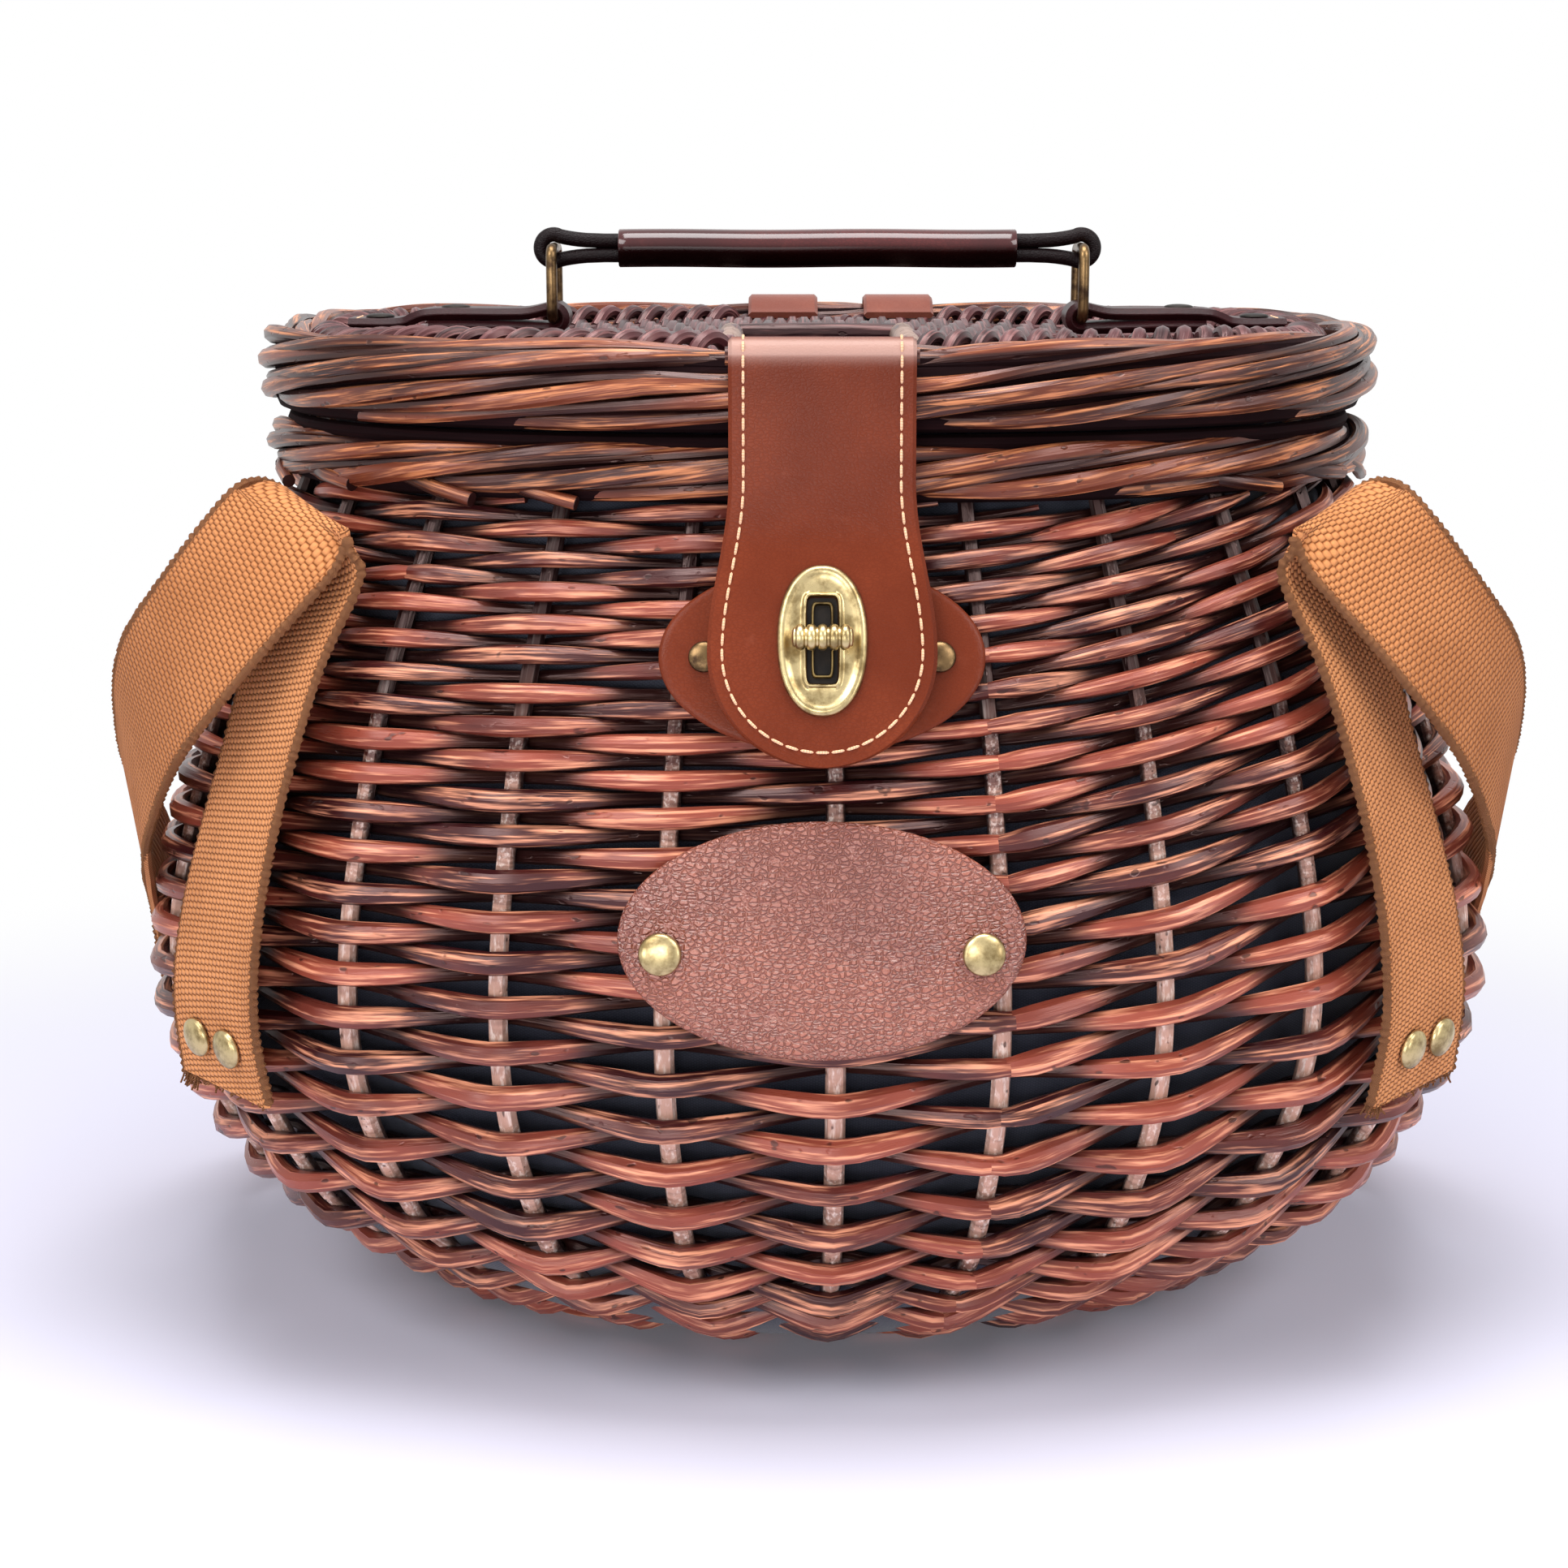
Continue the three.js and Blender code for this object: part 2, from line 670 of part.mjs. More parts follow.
function buildLid() {
  const ring = borderRing(LID_PLAN, LID_BORDER_WIDTH, LID_LOW, LID_TOP);
  const windowHalf = FLAP_TOP_HALF + SWING;
  const window = bar(
    V(-windowHalf, FLAP_ROD_Y, FLAP_ROD_Z),
    V(windowHalf, FLAP_ROD_Y, FLAP_ROD_Z),
    FLAP_EYE + FLAP_THICK / 2 + SWING,
    24,
  );
  const rodEnd = (sign) => V(sign * (windowHalf + FLAP_ROD_BEARING), FLAP_ROD_Y, FLAP_ROD_Z);
  const rod = bar(rodEnd(-1), rodEnd(1), FLAP_ROD_RADIUS, 16);
  const tongueCuts = [-1, 1].map((sign) => {
    const half = HINGE_LOOP_WIDTH / 2 + SEAT;
    const x = hingeX(sign);
    const low = V(x - half, LID_PLAN.back - LEATHER, LID_LOW - LEATHER);
    return block(low, V(x + half, LID_PLAN.back + LID_BORDER_WIDTH, LID_TOP + LID_BORDER_WIDTH));
  });
  const bordered = cut(ring, window, hingeNotch(-1), hingeNotch(1), ...tongueCuts);
  addPiece('lid_border', join(bordered, rod), 'willow');

  const panelPlan = grown(LID_PLAN, -LID_BORDER_WIDTH);
  const faces = [PANEL_TOP - PANEL_THICK, PANEL_TOP];
  const plain = skin(faces.map((z) => inset(outline(panelPlan, z, AROUND), SEAT)), false);
  const slab = common(plain, wovenBlock(panelPlan, faces[0] - 1, faces[1]));
  const wide = HOLE_WIDTH / 2 + HOLE_ROD + SEAT;
  const long = HOLE_LENGTH / 2 + HOLE_ROD + SEAT;
  const opening = block(
    V(-wide, HOLE_CENTRE - long, PANEL_TOP - 2 * PANEL_THICK),
    V(wide, HOLE_CENTRE + long, PANEL_TOP + PANEL_THICK),
  );
  addPiece('lid_panel', cut(slab, opening), 'willow');

  const low = PANEL_TOP - PANEL_THICK - FRAME_PROUD;
  const high = PANEL_TOP + FRAME_PROUD;
  const outer = block(
    V(-wide + SEAT, HOLE_CENTRE - long + SEAT, low),
    V(wide - SEAT, HOLE_CENTRE + long - SEAT, high),
  );
  const inner = block(
    V(-HOLE_WIDTH / 2, HOLE_CENTRE - HOLE_LENGTH / 2, low - 1),
    V(HOLE_WIDTH / 2, HOLE_CENTRE + HOLE_LENGTH / 2, high + 1),
  );
  addPiece('hole_frame', cut(outer, inner), 'paleWillow');
}

// Leather loops round the rear rod, with a tongue over the lid border
function buildHingeLoops() {
  for (const [sign, side] of [[-1, 'left'], [1, 'right']]) {
    const centre = V(hingeX(sign), HINGE_Y, HINGE_Z);
    const back = V(0, 1, 0);
    const up = V(0, 0, 1);
    const lift = SEAT + LEATHER / 2;
    const rise = LID_PLAN.back - LEATHER + lift;
    const crest = LID_TOP + lift;
    const bend = lift + LEATHER / 2;
    const path = [V(centre.x, rise - HINGE_TONGUE, crest)];
    path.push(...arc(V(centre.x, rise - bend, crest - bend), bend, Math.PI / 2, 0, 4, back, up));
    path.push(V(centre.x, rise + SEAT, (LID_LOW + LID_TOP) / 2));
    path.push(...arc(centre, LOOP_RADIUS, 0.7, -3.9, 16, back, up));
    const strap = bentStrap(path, V(1, 0, 0), HINGE_LOOP_WIDTH / 2, LEATHER);
    addPiece('hinge_loop_' + side, strap, 'leather');
  }
}

// Middle line of the closure strap, from inside its eye to its lower end
function flapLine() {
  const centre = V(0, FLAP_ROD_Y, FLAP_ROD_Z);
  const eye = arc(centre, FLAP_EYE, -0.9, Math.PI, 14, V(0, 1, 0), V(0, 0, 1));
  const straight = V(0, FLAP_ROD_Y - FLAP_EYE, FLAP_ROD_Z);
  const points = [straight, straight.clone().add(V(0, 0, -FLAP_HANG))];
  const bend = wallFace(0, NECK_HEIGHT - FLAP_BEND_DROP);
  const tip = wallFace(0, FLAP_END_HEIGHT);
  let bulge = 0;
  for (let i = 0; i <= 20; i += 1) {
    const taut = bend.clone().lerp(tip, i / 20);
    bulge = Math.max(bulge, taut.y - wallFace(0, taut.z).y);
  }
  const clear = V(0, -(bulge + FLAP_STANDOFF), 0);
  for (let i = 0; i <= 4; i += 1) points.push(bend.clone().lerp(tip, i / 4).add(clear));
  const curve = new THREE.CatmullRomCurve3(points);
  return { eye, curve };
}

const FLAP = flapLine();

function flapStations() {
  const length = FLAP.curve.getLength();
  const steps = 34;
  const stations = FLAP.eye.slice(0, -1).map((point) => ({ point, side: V(1, 0, 0), half: FLAP_TOP_HALF }));
  for (let i = 0; i <= steps; i += 1) {
    const round = Math.sin((Math.max(i - 16, 0) / (steps - 16)) * (Math.PI / 2));
    const share = Math.min(i / 16, 1) * 0.72 + round * 0.28;
    const along = share * length;
    const spread = THREE.MathUtils.smoothstep(along, length * 0.3, length * 0.72);
    let half = FLAP_TOP_HALF + (FLAP_END_HALF - FLAP_TOP_HALF) * spread;
    const intoEnd = along - (length - FLAP_END_HALF);
    if (intoEnd > 0) half = Math.min(half, Math.sqrt(Math.max(FLAP_END_HALF ** 2 - intoEnd ** 2, 4)));
    stations.push({ point: FLAP.curve.getPointAt(share), side: V(1, 0, 0), half });
  }
  return stations;
}

// Frame of the turn-lock on the closure strap's outer face
function lockFrame() {
  let share = 0;
  while (FLAP.curve.getPointAt(share).z > LOCK_HEIGHT) share += 0.002;
  const up = FLAP.curve.getTangentAt(share).negate();
  const right = V(1, 0, 0);
  const out = right.clone().cross(up).normalize();
  const origin = FLAP.curve.getPointAt(share).addScaledVector(out, FLAP_THICK / 2);
  return { origin, right, up, out };
}

const LOCK = lockFrame();

function buildClosure() {
  const strap = ribbon(flapStations(), FLAP_THICK);
  const slotHole = plate(boxShape(SLOT_WIDTH, SLOT_LENGTH), 6 * FLAP_THICK, 0, LOCK, -3 * FLAP_THICK);
  addPiece('closure_flap', cut(strap, slotHole), 'leather');

  const oval = new THREE.Shape();
  oval.absellipse(0, 0, LOCK_PLATE_WIDTH / 2, LOCK_PLATE_LENGTH / 2, 0, 2 * Math.PI, false, 0);
  const whole = plate(oval, LOCK_PLATE_THICK, 0.5, LOCK, SEAT);
  addPiece('lock_plate', cut(whole, slotHole), 'brass');

  const bossShape = boxShape(SLOT_WIDTH - 2 * SLIDE, SLOT_LENGTH - 2 * SLIDE);
  const bossLow = -FLAP_THICK;
  const bossHigh = SEAT + LOCK_PLATE_THICK + BOSS_PROUD;
  const boss = plate(bossShape, bossHigh - bossLow, 0, LOCK, bossLow);
  const at = (lift) => LOCK.origin.clone().addScaledVector(LOCK.out, lift);
  const bossBore = bar(at(0), at(bossHigh + 2), STEM_RADIUS + TURN, FINE);
  addPiece('lock_boss', cut(boss, bossBore), 'brass');

  const barLift = bossHigh + SEAT + TOGGLE_RADIUS;
  const half = TOGGLE_LENGTH / 2;
  const groove = TOGGLE_RADIUS * 0.82;
  const ridge = TOGGLE_RADIUS;
  const halfProfile = [
    [groove, 0.12], [ridge, 0.18], [ridge, 0.44], [groove, 0.5], [groove, 0.62], [ridge, 0.68], [ridge, 0.9],
    [ridge * 0.7, 1], [0, 1],
  ];
  const profile = halfProfile.map(([r, share]) => [r, share * half]);
  profile.unshift(...profile.map(([r, h]) => [r, -h]).reverse());
  const turnBar = turned(profile, 14, at(barLift), LOCK.right);
  const stem = bar(at(TURN), at(barLift), STEM_RADIUS, FINE);
  addPiece('lock_toggle', join(turnBar, stem), 'brass');

  const backing = wallPatch(BACKING_WIDTH, BACKING_LENGTH, LOCK_HEIGHT - BACKING_DROP, SEAT, LEATHER);
  const keeperUp = wallFace(0, LOCK_HEIGHT + 4).sub(wallFace(0, LOCK_HEIGHT - 4)).normalize();
  const keeper = {
    origin: wallFace(0, LOCK_HEIGHT),
    right: V(1, 0, 0),
    up: keeperUp,
    out: V(1, 0, 0).cross(keeperUp).normalize(),
  };
  const keeperLift = 2 * SEAT + LEATHER + 0.1;
  const keeperPlate = plate(boxShape(KEEPER_WIDTH, KEEPER_LENGTH), KEEPER_THICK, 0, keeper, keeperLift);
  addPiece('lock_keeper', keeperPlate, 'brass');
  addRivetedPatch('lock_backing', backing, 'backing_rivet', BACKING_RIVET, LOCK_HEIGHT - BACKING_DROP);

  const label = wallPatch(LABEL_WIDTH, LABEL_LENGTH, LABEL_HEIGHT, SEAT, LEATHER);
  addRivetedPatch('label_patch', label, 'label_rivet', LABEL_RIVET, LABEL_HEIGHT - LABEL_RIVET_DROP);
}

// A patch held on the wall by a rivet at each side
function addRivetedPatch(name, patch, rivetName, reach, height) {
  const holes = [];
  for (const [sign, side] of [[-1, 'left'], [1, 'right']]) {
    const x = sign * reach;
    const axis = wallNormal(x, height);
    const seat = wallFace(x, height).addScaledVector(axis, LEATHER + 2 * SEAT);
    holes.push(shankHole(seat, axis, LEATHER + SEAT + 1));
    addPiece(rivetName + '_' + side, rivet(seat, axis, RIVET_RADIUS, RIVET_DOME, LEATHER + SEAT), 'brass');
  }
  addPiece(name, cut(patch, ...holes), 'leather');
}

// Carry handle: tabs, rings, cord and sleeve
const TAB_LAYER = PANEL_TOP + SEAT + LEATHER / 2;
const TAB_EYE = RING_WIRE + TURN + LEATHER / 2;
const RING_Z = TAB_LAYER + TAB_EYE;
const GRIP_Z = RING_Z + RING_RISE;
const TAB_REACH = LID_PLAN.width - LID_BORDER_WIDTH - TAB_MARGIN;
const TAB_FOLD = TAB_REACH - TAB_SINGLE;

function ringLoop(x) {
  const half = RING_WIDTH / 2;
  const corner = (y, z, from) => {
    return arc(V(x, y, z), RING_CORNER, from, from + Math.PI / 2, 3, V(0, 1, 0), V(0, 0, 1));
  };
  const inner = half - RING_CORNER;
  return [
    ...corner(inner, GRIP_Z - RING_CORNER, 0),
    ...corner(-inner, GRIP_Z - RING_CORNER, Math.PI / 2),
    ...corner(-inner, RING_Z + RING_CORNER, Math.PI),
    ...corner(inner, RING_Z + RING_CORNER, 1.5 * Math.PI),
  ];
}

function buildHandle() {
  const up = V(0, 0, 1);
  for (const [sign, side] of [[-1, 'left'], [1, 'right']]) {
    const out = V(sign, 0, 0);
    const at = (reach, z) => V(sign * reach, 0, z);
    const upper = TAB_LAYER + LEATHER + SEAT;
    const path = [at(TAB_FOLD, TAB_LAYER), at(TAB_FOLD - 12, TAB_LAYER)];
    path.push(...arc(at(RING_CENTRE, RING_Z), TAB_EYE, 1.5 * Math.PI, 0.36 * Math.PI, 12, out, up));
    path.push(at(RING_CENTRE + 7, upper + 0.9), at(RING_CENTRE + 12, upper), at(TAB_FOLD + 1, upper));
    path.push(at(TAB_FOLD + 4, TAB_LAYER + 1.2), at(TAB_FOLD + 7, TAB_LAYER), at(TAB_REACH, TAB_LAYER));
    const strap = bentStrap(path, V(0, 1, 0), TAB_WIDTH / 2, LEATHER);
    const holes = [];
    TAB_RIVET_INSETS.forEach((inset, i) => {
      const reach = TAB_REACH - inset;
      const layer = reach < TAB_FOLD ? upper : TAB_LAYER;
      const seat = at(reach, layer + LEATHER / 2 + SEAT);
      holes.push(shankHole(seat, up, layer - PANEL_TOP + 1));
      const shank = layer + LEATHER / 2 - PANEL_TOP;
      const head = rivet(seat, up, SMALL_RIVET_RADIUS, SMALL_RIVET_DOME, shank);
      addPiece('tab_rivet_' + side + '_' + (i + 1), head, 'brass');
    });
    addPiece('handle_tab_' + side, cut(strap, ...holes), 'leather');
    wireLoop.normal = V(1, 0, 0);
    addPiece('ring_' + side, wireLoop(ringLoop(sign * RING_CENTRE), RING_WIRE, 8), 'brass');
  }

  const eye = RING_WIRE + TURN + CORD_RADIUS;
  const strand = CORD_RADIUS + SEAT;
  const neck = RING_CENTRE - CORD_THROAT;
  const points = [];
  for (const sign of [1, -1]) {
    const centre = V(sign * RING_CENTRE, 0, GRIP_Z);
    const lower = V(sign * neck, 0, GRIP_Z - sign * strand);
    const higher = V(sign * neck, 0, GRIP_Z + sign * strand);
    points.push(lower);
    points.push(...arc(centre, eye, -2.1, 2.1, 12, V(sign, 0, 0), V(0, 0, sign)));
    points.push(higher);
    points.push(V(sign * neck * 0.3, 0, GRIP_Z + sign * strand));
    points.push(V(-sign * neck * 0.3, 0, GRIP_Z + sign * strand));
  }
  wireLoop.normal = V(0, 1, 0);
  addPiece('handle_cord', wireLoop(points, CORD_RADIUS, 8), 'cord');

  const bore = strand + CORD_RADIUS + SEAT;
  const skinRadius = bore + SLEEVE_THICK;
  const rows = [];
  const ends = [[-GRIP_HALF, bore], [-GRIP_HALF, skinRadius], [GRIP_HALF, skinRadius], [GRIP_HALF, bore]];
  for (const [x, radius] of ends) {
    rows.push(arc(V(x, 0, GRIP_Z), radius, 0, 2 * Math.PI * (19 / 20), 19, V(0, 1, 0), up));
  }
  addPiece('grip_sleeve', skin(rows, true), 'leather');
}

// The strap's place on the wall at a height: middle point, outward direction and width direction
function strapSeat(sign, z) {
  const spot = (angle, height) => outlinePoint(planAt(height), sign * angle).setZ(height);
  const angle = THREE.MathUtils.mapLinear(z, STRAP_LOW, STRAP_HIGH, STRAP_LOW_ANGLE, STRAP_HIGH_ANGLE);
  const step = 0.01;
  const side = spot(angle + step, z).sub(spot(angle - step, z)).normalize();
  const rise = spot(angle, z + 1).sub(spot(angle, z - 1)).normalize();
  const away = side.clone().cross(rise).multiplyScalar(sign).normalize();
  const cos = Math.cos(STRAP_TWIST);
  const sin = Math.sin(STRAP_TWIST);
  return {
    spot: spot(angle, z).addScaledVector(away, STRAP_STAND),
    side: side.clone().multiplyScalar(cos).addScaledVector(away, -sin),
    out: away.clone().multiplyScalar(cos).addScaledVector(side, sin),
  };
}

// A point of the strap's free run: it clears the widest part of the wall that it hangs past.
function strapRun(degrees, gap, height) {
  const wall = planAt(height);
  const widest = (key) => Math.max(wall[key], height < BELLY_HEIGHT ? BELLY_PLAN[key] : 0);
  const plan = {
    width: widest('width'),
    front: widest('front'),
    back: widest('back'),
    round: widest('round'),
  };
  const angle = THREE.MathUtils.degToRad(degrees);
  const step = 0.001;
  const along = outlinePoint(plan, angle + step).sub(outlinePoint(plan, angle - step)).normalize();
  return outlinePoint(plan, angle).add(V(along.y, -along.x, 0).multiplyScalar(gap)).setZ(height);
}

// Shoulder strap: up each side of the wall, folded over, then free down to the table behind
function strapHalf(sign) {
  const lift = SEAT + WEBBING_THICK / 2;
  const stations = [];
  const steps = 6;
  for (let i = 0; i <= steps; i += 1) {
    const seat = strapSeat(sign, THREE.MathUtils.lerp(STRAP_LOW, STRAP_HIGH, i / steps));
    const clear = lift + (i < steps - 1 ? 0.5 : 0.9);
    stations.push({ point: seat.spot.addScaledVector(seat.out, clear), side: seat.side });
  }
  const place = (x, y, z, side) => {
    stations.push({ point: V(sign * x, y, z), side: V(sign * side[0], side[1], side[2]) });
  };
  const top = strapSeat(1, STRAP_HIGH);
  const fold = (rise, reach, side) => {
    const point = top.spot.clone().addScaledVector(top.out, reach);
    place(point.x, point.y, point.z + rise, side);
  };
  fold(8, 2.6, [0.58, 0.8, 0.12]);
  fold(13.5, 4.2, [0.56, 0.77, 0.28]);
  fold(15.5, 7.4, [0.53, 0.73, 0.42]);
  fold(11.5, 12, [0.51, 0.62, 0.58]);
  for (const run of STRAP_RUN) {
    const spot = strapRun(run.degrees, run.gap, run.height);
    place(spot.x, spot.y, Math.max(run.height, lift), run.side);
  }
  return stations;
}

// Rivets of the strap at one side: two low ones and one under the fold
function strapRivets(sign) {
  const face = WEBBING_THICK + 2 * SEAT + 0.5;
  const low = strapSeat(sign, STRAP_LOW + STRAP_RIVET_INSET);
  const high = strapSeat(sign, STRAP_HIGH - STRAP_RIVET_DROP);
  const spots = [-1, 1].map((end) => ({
    seat: low.spot.clone().addScaledVector(low.side, end * STRAP_RIVET_SPREAD).addScaledVector(low.out, face),
    axis: low.out,
    radius: RIVET_RADIUS,
    dome: RIVET_DOME,
  }));
  spots.push({
    seat: high.spot.clone().addScaledVector(high.out, face + 0.5),
    axis: high.out,
    radius: SMALL_RIVET_RADIUS,
    dome: SMALL_RIVET_DOME,
  });
  return spots;
}

function buildStrap() {
  const left = strapHalf(-1);
  const right = strapHalf(1).reverse();
  const rear = strapRun(180, STRAP_REAR_GAP, 0).setZ(SEAT + WEBBING_THICK / 2);
  const middle = { point: rear, side: V(0, 1, 0) };
  const route = [...left, middle, ...right];
  const line = new THREE.CatmullRomCurve3(route.map(({ point }) => point), false, 'centripetal');
  const sides = new THREE.CatmullRomCurve3(route.map(({ side }) => side), false, 'catmullrom', 0.4);
  const steps = (route.length - 1) * 2;
  const stations = [];
  for (let i = 0; i <= steps; i += 1) {
    const t = i / steps;
    stations.push({ point: line.getPoint(t), side: sides.getPoint(t).normalize(), half: WEBBING_WIDTH / 2 });
  }
  const holes = [];
  for (const [sign, side] of [[-1, 'left'], [1, 'right']]) {
    strapRivets(sign).forEach(({ seat, axis, radius, dome }, i) => {
      holes.push(shankHole(seat, axis, WEBBING_THICK + 2));
      const body = rivet(seat, axis, radius, dome, WEBBING_THICK + SEAT);
      addPiece('strap_rivet_' + side + '_' + (i + 1), body, 'brass');
    });
  }
  addPiece('shoulder_strap', cut(ribbon(stations, WEBBING_THICK), ...holes), 'webbing');
}

buildBody();
buildRim();
buildLid();
buildHingeLoops();
buildClosure();
buildHandle();
buildStrap();

export default root;
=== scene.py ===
"""Creel picnic basket: woven willow, leather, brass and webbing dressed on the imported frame."""

import logging
import math
from dataclasses import dataclass, field, fields
from enum import Enum

import bpy
import numpy as np
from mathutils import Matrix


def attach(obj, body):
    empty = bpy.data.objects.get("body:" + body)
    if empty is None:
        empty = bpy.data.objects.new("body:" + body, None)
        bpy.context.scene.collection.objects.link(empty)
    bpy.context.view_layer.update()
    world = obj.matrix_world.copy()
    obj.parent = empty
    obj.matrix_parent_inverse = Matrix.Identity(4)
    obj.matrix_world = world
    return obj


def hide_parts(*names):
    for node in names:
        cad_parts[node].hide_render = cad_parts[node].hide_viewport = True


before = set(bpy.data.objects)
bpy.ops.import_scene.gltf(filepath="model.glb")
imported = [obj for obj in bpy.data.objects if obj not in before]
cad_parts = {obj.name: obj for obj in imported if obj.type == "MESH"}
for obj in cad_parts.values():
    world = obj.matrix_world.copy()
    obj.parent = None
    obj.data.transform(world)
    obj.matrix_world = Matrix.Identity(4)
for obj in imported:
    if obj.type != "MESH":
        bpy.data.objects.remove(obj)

Array = np.ndarray
Values = np.ndarray | float
Pair = tuple[float, float]
Triple = tuple[float, float, float]
Plan = tuple[float, float, float, float]
Colour = tuple[float, float, float, float]
Shown = tuple[int, int, int]
Socket = bpy.types.NodeSocket
Feed = bpy.types.NodeSocket | float
Piece = bpy.types.Object
Finish = bpy.types.Material
Sockets = dict[str, Socket]

MM = 0.001
TURN = 2 * math.pi
TINY = 1e-9
SEED = 4127
RIGHT, BACK, UP = np.eye(3)
WHITE: Colour = (1.0, 1.0, 1.0, 1.0)
BLACK: Colour = (0.0, 0.0, 0.0, 1.0)
HINGE_ROD: Pair = (95.5, 253.0)
HINGE_SPAN: Pair = (-20.0, 36.0)
HINGE_ROOM = 5.95
FLAP_ROD: Pair = (-108.0, 276.2)
SEAT = 0.3
HIDE = 2.0
log = logging.getLogger("basket")
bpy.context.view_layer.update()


class Body(Enum):
    """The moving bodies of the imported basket."""

    BASKET = "basket"
    LID = "lid"
    FLAP = "flap"
    TOGGLE = "toggle"
    LEFT_RING = "left_ring"
    RIGHT_RING = "right_ring"
    GRIP = "grip"


class Slot(Enum):
    """Names of the material slots."""

    WILLOW = "willow"
    PALE_WILLOW = "pale_willow"
    LINING = "lining_cloth"
    LEATHER = "leather"
    BRASS = "brass"
    CORD = "cord"
    WEBBING = "webbing"


class Side(Enum):
    """The two sides of the basket, with the sign of x."""

    LEFT = -1
    RIGHT = 1

    @property
    def word(self) -> str:
        """The side's name in piece and node names."""
        return self.name.lower()


def tone(*shown: int) -> Colour:
    """The linear colour of red, green and blue shown as 0 to 255."""
    shares = [value / 255 for value in shown]
    return (*(v / 12.92 if v <= 0.04045 else ((v + 0.055) / 1.055) ** 2.4 for v in shares), 1.0)


def unit(vectors: Array) -> Array:
    """Vectors brought to length 1."""
    return vectors / np.maximum(np.linalg.norm(vectors, axis=-1, keepdims=True), TINY)


def vec(*values: float) -> Array:
    """A point or direction as an array."""
    return np.array(values, float)


def rows(*columns: Values) -> Array:
    """Columns joined to points, one per row; a single number is repeated."""
    return np.stack(np.broadcast_arrays(*columns), axis=-1)


def signed(value: Array, power: Values) -> Array:
    """A power that keeps the sign."""
    return np.sign(value) * np.abs(value) ** power


def arc(centre: Array, radius: float, start: float, end: float, steps: int, first: Array,
        second: Array) -> Array:
    """Points on an arc; first is the direction of angle 0, second that of a quarter turn."""
    angles = np.linspace(start, end, steps + 1)[:, None]
    return centre + radius * (np.cos(angles) * first + np.sin(angles) * second)


def spline(points: Array, per_gap: int, closed: bool = False, power: float = 0.5) -> Array:
    """A smooth line through points.

    Args:
        points: The points, one per row.
        per_gap: Steps between two points.
        closed: True for a loop.
        power: 0.5 keeps the line close to uneven points, 0 spaces them evenly.

    Returns:
        The line's points; a loop doesn't repeat its first one.
    """
    pts = np.asarray(points, float)
    if closed:
        ext = np.vstack([pts[-1], pts, pts[0], pts[1]])
    else:
        ext = np.vstack([2 * pts[0] - pts[1], pts, 2 * pts[-1] - pts[-2]])
    t = np.linspace(0, 1, per_gap, endpoint=False)[:, None]
    line = []
    for p0, p1, p2, p3 in zip(ext, ext[1:], ext[2:], ext[3:]):
        d0, d1, d2 = (max(np.linalg.norm(b - a) ** power, 1e-6)
                      for a, b in ((p0, p1), (p1, p2), (p2, p3)))
        m1 = ((p1 - p0) / d0 - (p2 - p0) / (d0 + d1) + (p2 - p1) / d1) * d1
        m2 = ((p2 - p1) / d1 - (p3 - p1) / (d1 + d2) + (p3 - p2) / d2) * d1
        line.append((2 * t ** 3 - 3 * t ** 2 + 1) * p1 + (t ** 3 - 2 * t ** 2 + t) * m1
                    + (3 * t ** 2 - 2 * t ** 3) * p2 + (t ** 3 - t ** 2) * m2)
    if not closed:
        line.append(pts[-1:])
    return np.vstack(line)


def lengths(path: Array) -> Array:
    """Distance along a path at each of its points."""
    return np.concatenate([[0.0], np.cumsum(np.linalg.norm(np.diff(path, axis=0), axis=1))])


def sample(path: Array, run: Array, at: Array) -> Array:
    """Rows of a path at some places, where run gives the place of each row."""
    return np.stack([np.interp(at, run, column) for column in path.T], axis=-1)


def even(path: Array, count: int) -> Array:
    """A path with evenly spaced points."""
    run = lengths(path)
    return sample(path, run, np.linspace(0, run[-1], count))


def tangents(path: Array, closed: bool = False) -> Array:
    """Directions along a path or loop."""
    ahead = np.roll(path, -1, axis=0) - np.roll(path, 1, axis=0)
    return unit(ahead if closed else np.gradient(path, axis=0))


def smooth(value: Values, low: float, high: float) -> Values:
    """Rises softly from 0 at low to 1 at high."""
    t = np.clip((np.asarray(value, float) - low) / (high - low), 0, 1)
    return t * t * (3 - 2 * t)


def soften(values: Array, reach: int, spread: float, mode: str) -> Array:
    """Evens out a row of values with its neighbours.

    Args:
        values: The row.
        reach: Neighbours taken on each side.
        spread: Width of the bell that weighs them.
        mode: How the row goes on past its ends, as in numpy.pad.

    Returns:
        The softer row.
    """
    bell = np.exp(-0.5 * (np.arange(-reach, reach + 1) / spread) ** 2)
    return np.convolve(np.pad(values, reach, mode=mode), bell / bell.sum(), mode="valid")


